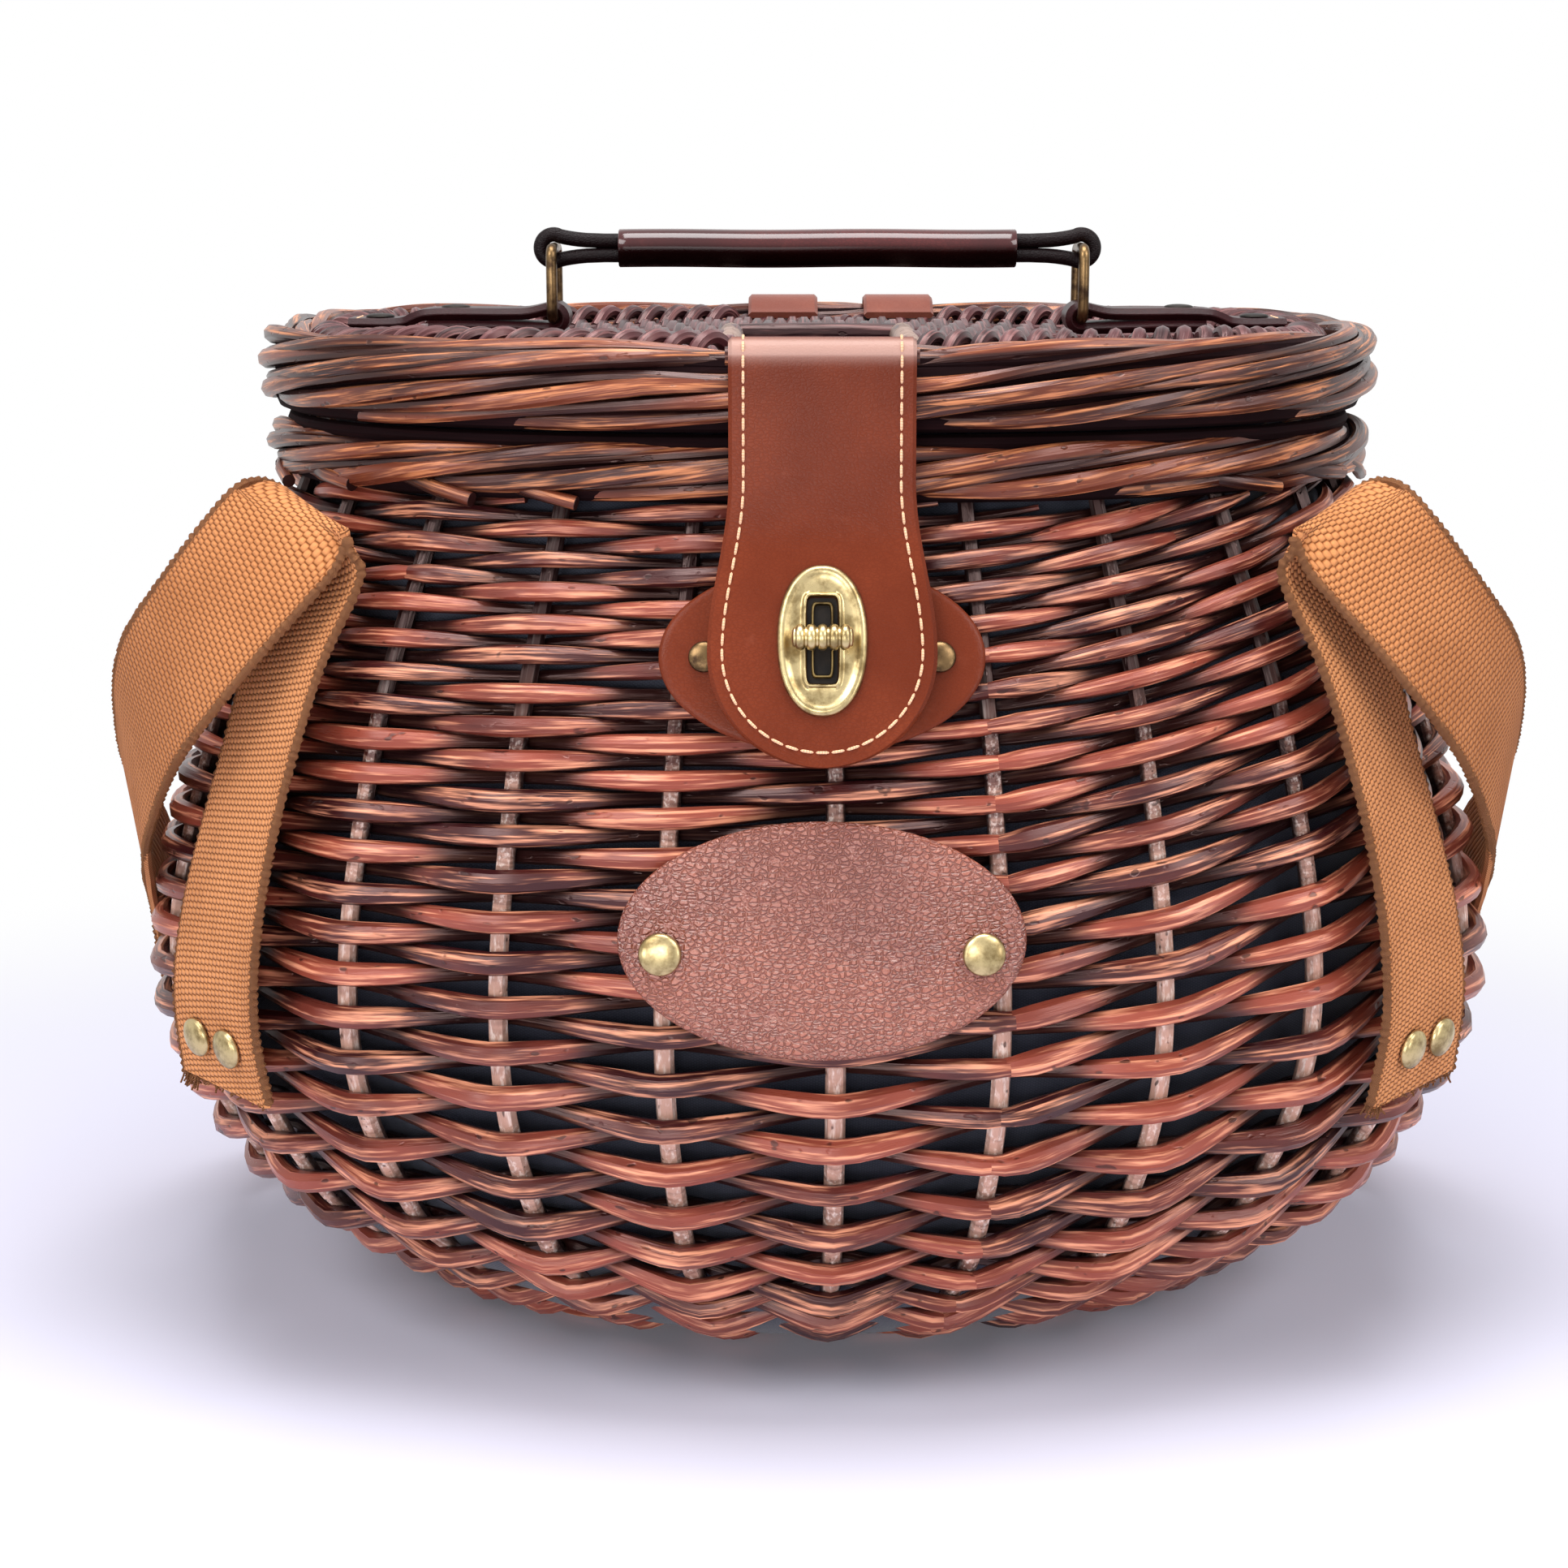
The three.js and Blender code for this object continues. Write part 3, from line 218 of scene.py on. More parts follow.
@dataclass
class Draft:
    """The points, faces and surface values of a piece while it is shaped, in millimetres."""

    points: list[Array] = field(default_factory=list)
    quads: list[Array] = field(default_factory=list)
    quad_uv: list[Array] = field(default_factory=list)
    fans: list[Array] = field(default_factory=list)
    fan_uv: list[Array] = field(default_factory=list)
    tints: list[Array] = field(default_factory=list)
    covers: list[Array] = field(default_factory=list)
    count: int = 0

    def _store(self, points: Array, tint: Values, cover: Values) -> int:
        """Keeps points with their values.

        Args:
            points: The points.
            tint: One value, or one per point.
            cover: One value, or one per point.

        Returns:
            The index of the first point.
        """
        first, count = self.count, len(points)
        self.points.append(points)
        self.tints.append(np.broadcast_to(tint, count))
        self.covers.append(np.broadcast_to(cover, count))
        self.count += count
        return first

    def skin(self, rings: Array, along: Array, around: Array, tint: Values = 0.5,
             cover: Values = 1.0, looped: bool = False, capped: bool = True) -> None:
        """Joins closed rings into a skin.

        Args:
            rings: Array of rings by points by 3, each ring turning left about the way ahead.
            along: Texture place of each ring, in metres; one more than the rings where looped.
            around: Texture place round the ring; one more than its points.
            tint: Value per piece or per ring.
            cover: Value per piece, per ring, or per ring and point.
            looped: True where the last ring meets the first.
            capped: True to close both ends.
        """
        count, across = rings.shape[:2]
        ring_tint = np.repeat(np.broadcast_to(tint, count), across)
        cover = np.asarray(cover, float)
        cover = cover[:, None] if cover.ndim == 1 else cover
        ring_cover = np.broadcast_to(cover, (count, across)).ravel()
        first = self._store(rings.reshape(-1, 3), ring_tint, ring_cover)
        i, j = np.meshgrid(np.arange(count if looped else count - 1), np.arange(across), indexing="ij")
        nxt, side = (i + 1) % count, (j + 1) % across
        self.quads.append(first + np.stack(
            [i * across + j, i * across + side, nxt * across + side, nxt * across + j], -1).reshape(-1, 4))
        u0, u1, v0, v1 = along[i], along[i + 1], around[j], around[j + 1]
        self.quad_uv.append(np.stack([u0, v0, u0, v1, u1, v1, u1, v0], -1).reshape(-1, 4, 2))
        if looped or not capped:
            return
        for end, turned in ((0, True), (count - 1, False)):
            at = end * across
            hub = self._store(rings[end].mean(0, keepdims=True), ring_tint[at], ring_cover[at])
            here = first + at + np.arange(across)
            there = np.roll(here, -1)
            hubs = np.full(across, hub)
            self.fans.append(np.stack([hubs, there, here] if turned else [hubs, here, there], -1))
            self.fan_uv.append(np.full((across, 3, 2), (along[end], around[0])))

    def loft(self, rings: Array, capped: bool = True) -> None:
        """Joins rings, with a texture that runs along them in metres and once round them."""
        self.skin(rings, lengths(rings[:, 0]) * MM, np.linspace(0, 1, rings.shape[1] + 1), capped=capped)

    def tube(self, path: Array, radius: Values, sides: int = 8, outs: Array | None = None,
             tint: Values = 0.5, cover: Values = 1.0, closed: bool = False,
             flat: float = 1.0, start: float = 0.0, stain: float = 0.0) -> None:
        """A round rod along a path.

        Args:
            path: Middle line, one point per row.
            radius: Radius, or one per point.
            sides: Points round the rod.
            outs: Direction that the rod's seam faces away from, one or one per point.
            tint: Value per rod or per point.
            cover: Value per rod or per point.
            closed: True for a loop.
            flat: Height of the section as a share of its width.
            start: Texture place of the first point, in metres.
            stain: How much lower the cover is on the rod's underside and far side.
        """
        ahead = tangents(path, closed)
        outs = self._carried(ahead) if outs is None else np.broadcast_to(outs, path.shape)
        first = unit(outs - (outs * ahead).sum(1, keepdims=True) * ahead)
        second = np.cross(ahead, first)
        turn = np.linspace(0, TURN, sides, endpoint=False) + math.pi
        c, s = np.cos(turn), np.sin(turn)
        size = np.broadcast_to(radius, len(path))[:, None, None]
        rings = path[:, None] + size * (c[None, :, None] * first[:, None] * flat
                                        + s[None, :, None] * second[:, None])
        run = lengths(np.vstack([path, path[:1]]) if closed else path) * MM + start
        # Painted shade: the cover is lowered on the side of each rod that faces down and inwards, and the rod
        # materials turn that side dark.
        if stain:
            sky = 0.45
            lean = c[None] * (1 + sky * first[:, 2:]) + s[None] * sky * second[:, 2:]
            cover = np.broadcast_to(cover, len(path))[:, None] - stain * (1 - smooth(lean, -0.25, 0.6))
        self.skin(rings, run, np.linspace(0, 1, sides + 1), tint, cover, looped=closed)

    @staticmethod
    def _carried(ahead: Array) -> Array:
        """Carries a sideways direction along a path without twist.

        Args:
            ahead: Directions along the path.

        Returns:
            The sideways direction at each point.
        """
        seed = UP if abs(ahead[0][2]) < 0.8 else BACK
        out = np.empty_like(ahead)
        for i, way in enumerate(ahead):
            seed = unit(seed - (seed @ way) * way)
            out[i] = seed
        return out

    def strap(self, path: Array, sides: Array, half: Values, thick: float, across: int = 8,
              rounding: float = 0.45, tint: Values = 0.5) -> None:
        """A flat strap with rounded edges.

        Args:
            path: Middle line.
            sides: Width direction, one or one per point.
            half: Half width, or one per point.
            thick: Thickness.
            across: Points over each face.
            rounding: Radius of the edges as a share of the thickness.
            tint: Value of the whole strap, or one per point.
        """
        ahead = tangents(path)
        wide = np.broadcast_to(sides, path.shape)
        wide = unit(wide - (wide * ahead).sum(1, keepdims=True) * ahead)
        up = np.cross(ahead, wide)
        halves = np.broadcast_to(half, len(path))
        edge = thick * rounding
        span = np.linspace(-1, 1, across)
        low, high = rows(span, -0.5 * thick), rows(-span, 0.5 * thick)
        rim = np.array([(1.0, -0.5 * thick + edge), (1.0, 0.5 * thick - edge)])
        section = np.vstack([low, rim, high, rim[::-1] * [-1, 1]])
        pull = np.zeros(len(section))
        pull[[0, across - 1, across + 2, 2 * across + 1]] = edge
        reach = section[None, :, 0] * np.maximum(halves[:, None] - pull[None], 0.05)
        rings = (path[:, None] + reach[..., None] * wide[:, None]
                 + section[:, 1][None, :, None] * up[:, None])
        width = float(halves.max()) * MM
        around = np.concatenate([section[:, 0], section[:1, 0]]) * width
        self.skin(rings, lengths(path) * MM, around, tint)

    def lathe(self, profile: Array, sides: int, seat: Array, axis: Array) -> None:
        """A turned body.

        Args:
            profile: Rows of radius and height, from the lower middle to the upper middle.
            sides: Points round the axis.
            seat: Place of height 0.
            axis: The turning axis, of length 1.
        """
        first = self._carried(axis[None])[0]
        second = np.cross(axis, first)
        turn = np.linspace(0, TURN, sides, endpoint=False)
        ring = np.cos(turn)[:, None] * first + np.sin(turn)[:, None] * second
        rings = seat + profile[:, 0, None, None] * ring[None] + profile[:, 1, None, None] * axis
        self.skin(rings, lengths(profile) * MM, np.linspace(0, 1, sides + 1))

    def settle(self, name: str, finish: Finish, body: Body, slot: Slot, *nodes: str,
               crease: float = 40.0) -> Piece:
        """Turns the draft into a piece in metres, puts it on its body and reports it.

        Args:
            name: The piece's name.
            finish: Its material.
            body: The body it moves with.
            slot: Not used.
            nodes: CAD nodes that it stands for.
            crease: Edges sharper than this many degrees stay sharp.

        Returns:
            The new object.
        """
        points = np.vstack(self.points) * MM
        quads = np.vstack(self.quads)
        fans = np.vstack(self.fans) if self.fans else np.zeros((0, 3), int)
        uv = np.concatenate([np.vstack(self.quad_uv).reshape(-1, 2)]
                            + [u.reshape(-1, 2) for u in self.fan_uv])
        mesh = bpy.data.meshes.new(name)
        mesh.vertices.add(len(points))
        mesh.vertices.foreach_set("co", points.astype(np.float32).ravel())
        mesh.loops.add(quads.size + fans.size)
        mesh.polygons.add(len(quads) + len(fans))
        starts = np.concatenate([np.arange(len(quads)) * 4, quads.size + np.arange(len(fans)) * 3])
        mesh.polygons.foreach_set("loop_start", starts.astype(np.int32))
        mesh.polygons.foreach_set("vertices", np.concatenate([quads.ravel(), fans.ravel()]).astype(np.int32))
        mesh.polygons.foreach_set("use_smooth", np.ones(len(quads) + len(fans), bool))
        mesh.uv_layers.new(name="UVMap").data.foreach_set("uv", uv.astype(np.float32).ravel())
        for label, values in (("tint", self.tints), ("cover", self.covers)):
            layer = mesh.attributes.new(label, "FLOAT", "POINT")
            layer.data.foreach_set("value", np.concatenate(values).astype(np.float32))
        mesh.update(calc_edges=True)
        mesh.set_sharp_from_angle(angle=math.radians(crease))
        mesh.materials.append(finish)
        piece = show(name, mesh)
        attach(piece, body.value)
        if nodes:
            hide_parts(*nodes)
        log.info("%s rides on %s with %d faces", piece.name, body.value, len(mesh.polygons))
        return piece


def show(name: str, data: bpy.types.ID) -> Piece:
    """Puts new data into the scene.

    Args:
        name: Name of the object.
        data: A mesh, a lamp or a camera.

    Returns:
        The object.
    """
    shown = bpy.data.objects.new(name, data)
    bpy.context.scene.collection.objects.link(shown)
    return shown


class NodeSheet:
    """A node tree with short calls for placing and joining nodes."""

    def __init__(self, tree: bpy.types.NodeTree) -> None:
        """Takes the tree to work in."""
        self.tree = tree

    def add(self, kind: str, **settings: object) -> bpy.types.Node:
        """Adds a node.

        Args:
            kind: Blender's name of its kind.
            settings: Its properties.

        Returns:
            The node.
        """
        node = self.tree.nodes.new(kind)
        for key, value in settings.items():
            setattr(node, key, value)
        return node

    def feed(self, socket: Socket, value: Feed | Colour) -> None:
        """Joins a socket to another one, or sets its value.

        Args:
            socket: The input.
            value: An output or a constant.
        """
        if isinstance(value, bpy.types.NodeSocket):
            self.tree.links.new(value, socket)
        else:
            socket.default_value = value

    def node(self, kind: str, output: int | str, given: dict, **settings: object) -> Socket:
        """Adds a node and feeds its inputs.

        Args:
            kind: Blender's name of its kind.
            output: The output that is taken.
            given: Outputs or constants by the number or name of the input.
            settings: Its properties.

        Returns:
            The output.
        """
        node = self.add(kind, **settings)
        for key, value in given.items():
            self.feed(node.inputs[key], value)
        return node.outputs[output]

    def math(self, operation: str, first: Feed, second: Feed = 0.0, clamp: bool = False) -> Socket:
        """Works out something from one or two values."""
        return self.node("ShaderNodeMath", 0, {0: first, 1: second}, operation=operation, use_clamp=clamp)

    def times(self, first: Feed, second: Feed) -> Socket:
        """The product of two values."""
        return self.math("MULTIPLY", first, second)

    def plus(self, first: Feed, second: Feed) -> Socket:
        """The sum of two values."""
        return self.math("ADD", first, second)

    def between(self, value: Socket, low: float, high: float, to_low: float = 0.0,
                to_high: float = 1.0) -> Socket:
        """Maps a value softly from one range to another."""
        given = {"Value": value, "From Min": low, "From Max": high, "To Min": to_low, "To Max": to_high}
        return self.node("ShaderNodeMapRange", "Result", given, interpolation_type="SMOOTHSTEP")

    def mix(self, share: Feed, first: Socket | Colour, second: Socket | Colour) -> Socket:
        """Blends two colours, with a share of the second."""
        return self.node("ShaderNodeMix", 2, {0: share, 6: first, 7: second}, data_type="RGBA")

    def vector(self, *parts: Feed) -> Socket:
        """Joins three values to one vector."""
        return self.node("ShaderNodeCombineXYZ", 0, dict(enumerate(parts)))

    def noise(self, where: Socket, scale: float, detail: float = 2.0, rough: float = 0.5,
              output: str = "Fac") -> Socket:
        """Soft cloudy values, with scale clouds per metre and some finer layers."""
        given = {"Vector": where, "Scale": scale, "Detail": detail, "Roughness": rough}
        return self.node("ShaderNodeTexNoise", output, given)

    def stretch(self, where: Socket, factor: Triple, shift: Socket | Triple = (0.0, 0.0, 0.0)) -> Socket:
        """Multiplies a place by a factor per axis and shifts it."""
        return self.node("ShaderNodeVectorMath", 0, {0: where, 1: factor, 2: shift}, operation="MULTIPLY_ADD")

    def cells(self, where: Socket, scale: Feed) -> Socket:
        """Distance to the edge in a pattern of cells."""
        given = {"Vector": where, "Scale": scale}
        return self.node("ShaderNodeTexVoronoi", "Distance", given, feature="DISTANCE_TO_EDGE")

    def surface_place(self) -> tuple[Socket, Socket]:
        """The texture place along and round or across a piece."""
        split = self.add("ShaderNodeSeparateXYZ")
        self.feed(split.inputs[0], self.node("ShaderNodeUVMap", 0, {}, uv_map="UVMap"))
        return split.outputs[0], split.outputs[1]

    def value_of(self, name: str) -> Socket:
        """A value stored on the piece's points."""
        return self.node("ShaderNodeAttribute", "Fac", {}, attribute_name=name)

    def object_place(self) -> Socket:
        """The place on the piece in its own frame."""
        return self.node("ShaderNodeTexCoord", "Object", {})

    def seen(self) -> Socket:
        """1 where the camera sees a surface, also in a mirror or through glass."""
        rays = self.add("ShaderNodeLightPath").outputs
        direct = self.math("MAXIMUM", rays["Is Camera Ray"], rays["Is Glossy Ray"])
        return self.math("MAXIMUM", direct, rays["Is Transmission Ray"])


class Effect:
    """A shared surface effect as a shader node group, built once."""

    name: str = ""
    colours: tuple[str, ...] = ()
    values: tuple[str, ...] = ()
    gives: tuple[tuple[str, str], ...] = (("Color", "Color"), ("Roughness", "Float"), ("Height", "Float"))

    @classmethod
    def group(cls) -> bpy.types.NodeTree:
        """The effect's node group, made at its first use."""
        found = bpy.data.node_groups.get(cls.name)
        if found:
            return found
        tree = bpy.data.node_groups.new(cls.name, "ShaderNodeTree")
        takes = [(key, "Color") for key in cls.colours] + [(key, "Float") for key in cls.values]
        for way, sockets in (("INPUT", takes), ("OUTPUT", cls.gives)):
            for key, kind in sockets:
                tree.interface.new_socket(name=key, in_out=way, socket_type=f"NodeSocket{kind}")
        sheet = NodeSheet(tree)
        took = sheet.add("NodeGroupInput")
        gave = sheet.add("NodeGroupOutput")
        made = cls.draw(sheet, {socket.name: socket for socket in took.outputs if socket.name})
        for key, socket in made.items():
            sheet.feed(gave.inputs[key], socket)
        return tree

    @classmethod
    def draw(cls, sheet: NodeSheet, given: Sockets) -> Sockets:
        """Places the effect's nodes and returns its outputs by name."""
        raise NotImplementedError

    @classmethod
    def place(cls, sheet: NodeSheet, **given: float | Colour) -> Sockets:
        """Puts the effect into a material.

        Args:
            sheet: The material's nodes.
            given: Values of the effect's inputs, in small letters and with _ for a space.

        Returns:
            The effect's outputs by name.
        """
        node = sheet.add("ShaderNodeGroup", node_tree=cls.group())
        for key, value in given.items():
            node.inputs[key.replace("_", " ").title()].default_value = value
        return {socket.name: socket for socket in node.outputs}


class RodGrain(Effect):
    """Streaks, blotches and flecks that run along stained willow rods."""

    name = "rod_grain"
    colours = ("Deep", "Middle", "Bright", "Fleck")
    values = ("Gloss", "Streaks")

    @classmethod
    def draw(cls, sheet: NodeSheet, given: Sockets) -> Sockets:
        """Places the nodes of the willow grain.

        Args:
            sheet: The group's nodes.
            given: Its inputs by name.

        Returns:
            Its outputs by name.
        """
        along, around = sheet.surface_place()
        tint = sheet.value_of("tint")
        cover = sheet.value_of("cover")
        lot = sheet.times(tint, 61.0)

        def grain(length: float, girth: float, detail: float, rough: float = 0.5) -> Socket:
            """Noise that is drawn out along the rod."""
            place = sheet.vector(sheet.times(along, length), sheet.times(around, girth), lot)
            return sheet.noise(place, 1.0, detail, rough)
        streak = grain(45.0, 13.0, 3.0, 0.6)
        blotch = grain(34.0, 1.5, 2.0)
        speck = grain(210.0, 7.0, 1.0)
        ripe = sheet.between(sheet.plus(blotch, sheet.times(tint, 0.6)), 0.45, 1.1)
        body = sheet.mix(ripe, given["Deep"], given["Middle"])
        light = sheet.times(sheet.between(streak, 0.47, 0.72), given["Streaks"])
        lit = sheet.mix(light, body, given["Bright"])
        flecked = sheet.mix(sheet.between(speck, 0.69, 0.75, 0.0, 0.75), lit, given["Fleck"])
        # Painted shade: where the cover is low the colour turns to the dark fleck colour, so rods look shaded
        # where they pass behind others, sink into a border and turn their undersides away.
        colour = sheet.mix(sheet.between(cover, -0.45, 0.3, 0.94, 0.0), flecked, given["Fleck"])
        rough = sheet.plus(given["Gloss"], sheet.times(streak, 0.22))
        height = sheet.math("SUBTRACT", sheet.times(streak, 0.8),
                            sheet.between(speck, 0.66, 0.74, 0.0, 0.6))
        return {"Color": colour, "Roughness": rough, "Height": height}


class HideGrain(Effect):
    """Fine pebbles, pores and soft colour change of leather."""

    name = "hide_grain"
    colours = ("Shade", "Deep", "Worn", "Rubbed")
    values = ("Pebbles", "Pebble Depth", "Gloss")
    gives = Effect.gives + (("Polish", "Float"),)

    @classmethod
    def draw(cls, sheet: NodeSheet, given: Sockets) -> Sockets:
        """Places the nodes of the leather grain.

        Args:
            sheet: The group's nodes.
            given: Its inputs by name.

        Returns:
            Its outputs by name.
        """
        place = sheet.object_place()
        warp = sheet.noise(place, 400.0, output="Color")
        bent = sheet.stretch(warp, (0.0012, 0.0012, 0.0012), sheet.stretch(place, (0.6, 0.8, 1.0)))
        pebble = sheet.between(sheet.cells(bent, given["Pebbles"]), 0.0, 0.24)
        cloud = sheet.noise(place, 28.0, 3.0, 0.6)
        pore = sheet.noise(place, 1900.0, 2.0, 0.7)
        fold = sheet.noise(place, 90.0, 4.0, 0.7)
        body = sheet.mix(sheet.between(cloud, 0.3, 0.72), given["Deep"], given["Shade"])
        shaded = sheet.mix(sheet.between(pebble, 0.0, 1.0, 0.5, 0.0), body, given["Deep"])
        colour = sheet.mix(sheet.between(fold, 0.6, 0.82, 0.0, 0.3), shaded, given["Worn"])
        # Painted highlight: where the tint is above 0.5 (the top of the closure strap's bend) the colour
        # turns towards a pale highlight colour.
        rubbed = sheet.between(sheet.value_of("tint"), 0.5, 1.0, 0.0, 0.8)
        # Painted shade: where the cover is below 1 (the grip sleeve's underside) the colour turns to black,
        # and the coat weight follows the same mask.
        under = sheet.between(sheet.value_of("cover"), 0.0, 1.0, 0.92, 0.0)
        colour = sheet.mix(under, sheet.mix(rubbed, colour, given["Rubbed"]), BLACK)
        uneven = sheet.plus(sheet.times(cloud, 0.12), sheet.times(pore, 0.1))
        rough = sheet.plus(given["Gloss"], uneven)
        dome = sheet.times(pebble, given["Pebble Depth"])
        height = sheet.plus(dome, sheet.times(pore, 0.18))
        polish = sheet.between(sheet.value_of("cover"), 0.2, 1.0)
        return {"Color": colour, "Roughness": rough, "Height": height, "Polish": polish}


class ThreadWeave(Effect):
    """Threads that pass over and under each other in slanting steps."""

    name = "thread_weave"
    colours = ("Thread", "Gap")
    values = ("Along", "Across", "Step", "Fuzz")

    @classmethod
    def draw(cls, sheet: NodeSheet, given: Sockets) -> Sockets:
        """Places the nodes of the cloth.

        Args:
            sheet: The group's nodes.
            given: Its inputs by name.

        Returns:
            Its outputs by name.
        """
        along, across = sheet.surface_place()
        lane = sheet.times(across, given["Across"])
        row = sheet.math("FLOOR", lane)
        run = sheet.plus(sheet.times(along, given["Along"]), sheet.times(row, given["Step"]))
        wide = sheet.math("SINE", sheet.times(sheet.math("FRACT", lane), math.pi))
        long = sheet.math("SINE", sheet.times(sheet.math("FRACT", run), math.pi))
        ridge = sheet.between(wide, 0.0, 1.0, 0.4, 1.0)
        bump = sheet.math("POWER", sheet.times(ridge, long), 0.7)
        place = sheet.object_place()
        fuzz = sheet.noise(place, 1500.0, 3.0, 0.7)
        cloud = sheet.noise(place, 45.0, 3.0)
        shady = sheet.between(sheet.value_of("tint"), 0.0, 0.5, 0.5, 0.0)
        lit = sheet.mix(shady, given["Thread"], given["Gap"])
        shade = sheet.mix(sheet.between(bump, 0.05, 0.75), given["Gap"], lit)
        worn = sheet.mix(sheet.between(cloud, 0.35, 0.7, 0.0, 0.22), shade, given["Gap"])
        colour = sheet.mix(sheet.times(fuzz, given["Fuzz"]), worn, given["Gap"])
        rough = sheet.between(fuzz, 0.0, 1.0, 0.8, 0.98)
        height = sheet.plus(bump, sheet.times(fuzz, 0.35))
        return {"Color": colour, "Roughness": rough, "Height": height}


class Patina(Effect):
    """Dark bloom, and brightness where old brass is worn by rubbing."""

    name = "patina"
    colours = ("Bright", "Aged")
    values = ("Age", "Gloss")

    @classmethod
    def draw(cls, sheet: NodeSheet, given: Sockets) -> Sockets:
        """Places the nodes of the brass.

        Args:
            sheet: The group's nodes.
            given: Its inputs by name.

        Returns:
            Its outputs by name.
        """
        place = sheet.object_place()
        cloud = sheet.noise(place, 190.0, 4.0, 0.65)
        grit = sheet.noise(place, 2200.0, 2.0, 0.7)
        share = sheet.math("MULTIPLY", sheet.between(cloud, 0.38, 0.68), given["Age"], clamp=True)
        colour = sheet.mix(share, given["Bright"], given["Aged"])
        rough = sheet.plus(given["Gloss"], sheet.times(cloud, 0.22))
        return {"Color": colour, "Roughness": rough, "Height": grit}


@dataclass(frozen=True)
class Surface:
    """Steady shader values shared by all finishes."""

    name: str
    bump: float = 0.3
    depth: float = 0.0004
    metal: float = 0.0
    specular: float = 0.5
    coat: float = 0.0
    coat_rough: float = 0.2
    sheen: float = 0.0
    gleam: Colour = WHITE

    def dress(self, effect: type[Effect], **given: float | Colour) -> Finish:
        """Makes the material.

        Args:
            effect: The surface effect.
            given: Its values.

        Returns:
            The finished material.
        """
        finish = bpy.data.materials.new(self.name)
        finish.use_nodes = True
        sheet = NodeSheet(finish.node_tree)
        shader = finish.node_tree.nodes["Principled BSDF"]
        made = effect.place(sheet, **given)
        sheet.feed(shader.inputs["Base Color"], made["Color"])
        sheet.feed(shader.inputs["Roughness"], made["Roughness"])
        relief = {"Strength": self.bump, "Distance": self.depth, "Height": made["Height"]}
        sheet.feed(shader.inputs["Normal"], sheet.node("ShaderNodeBump", "Normal", relief))
        for key, value in (("Metallic", self.metal), ("Specular IOR Level", self.specular),
                           ("Coat Weight", self.coat), ("Coat Roughness", self.coat_rough),
                           ("Sheen Weight", self.sheen), ("Specular Tint", self.gleam)):
            shader.inputs[key].default_value = value
        if "Polish" in made and self.coat:
            sheet.feed(shader.inputs["Coat Weight"], made["Polish"])
        return finish


class Coating:
    """A finish whose values feed a surface effect, with colours as they are shown."""

    effect: type[Effect]
    surface: Surface

    def make(self) -> Finish:
        """Makes the material."""
        given = {}
        for part in fields(self):
            value = getattr(self, part.name)
            given[part.name] = tone(*value) if isinstance(value, tuple) else value
        return given.pop("surface").dress(self.effect, **given)


@dataclass(frozen=True)
class Willow(Coating):
    """A stained willow finish."""

    effect = RodGrain
    surface: Surface
    deep: Shown
    middle: Shown
    bright: Shown
    fleck: Shown = (26, 10, 12)
    gloss: float = 0.2
    streaks: float = 0.7


@dataclass(frozen=True)
class Leather(Coating):
    """A leather finish."""

    effect = HideGrain
    surface: Surface
    shade: Shown
    deep: Shown
    worn: Shown
    pebbles: float = 1300.0
    pebble_depth: float = 0.4
    gloss: float = 0.3
    rubbed: Shown = (226, 190, 176)


@dataclass(frozen=True)
class Cloth(Coating):
    """A woven cloth or thread finish, with threads per metre."""

    effect = ThreadWeave
    surface: Surface
    thread: Shown
    gap: Shown
    along: float
    across: float
    step: float = 0.5
    fuzz: float = 0.3


@dataclass(frozen=True)
class Brass(Coating):
    """A brass finish."""

    effect = Patina
    surface: Surface
    bright: Shown
    aged: Shown
    age: float = 0.9
    gloss: float = 0.2


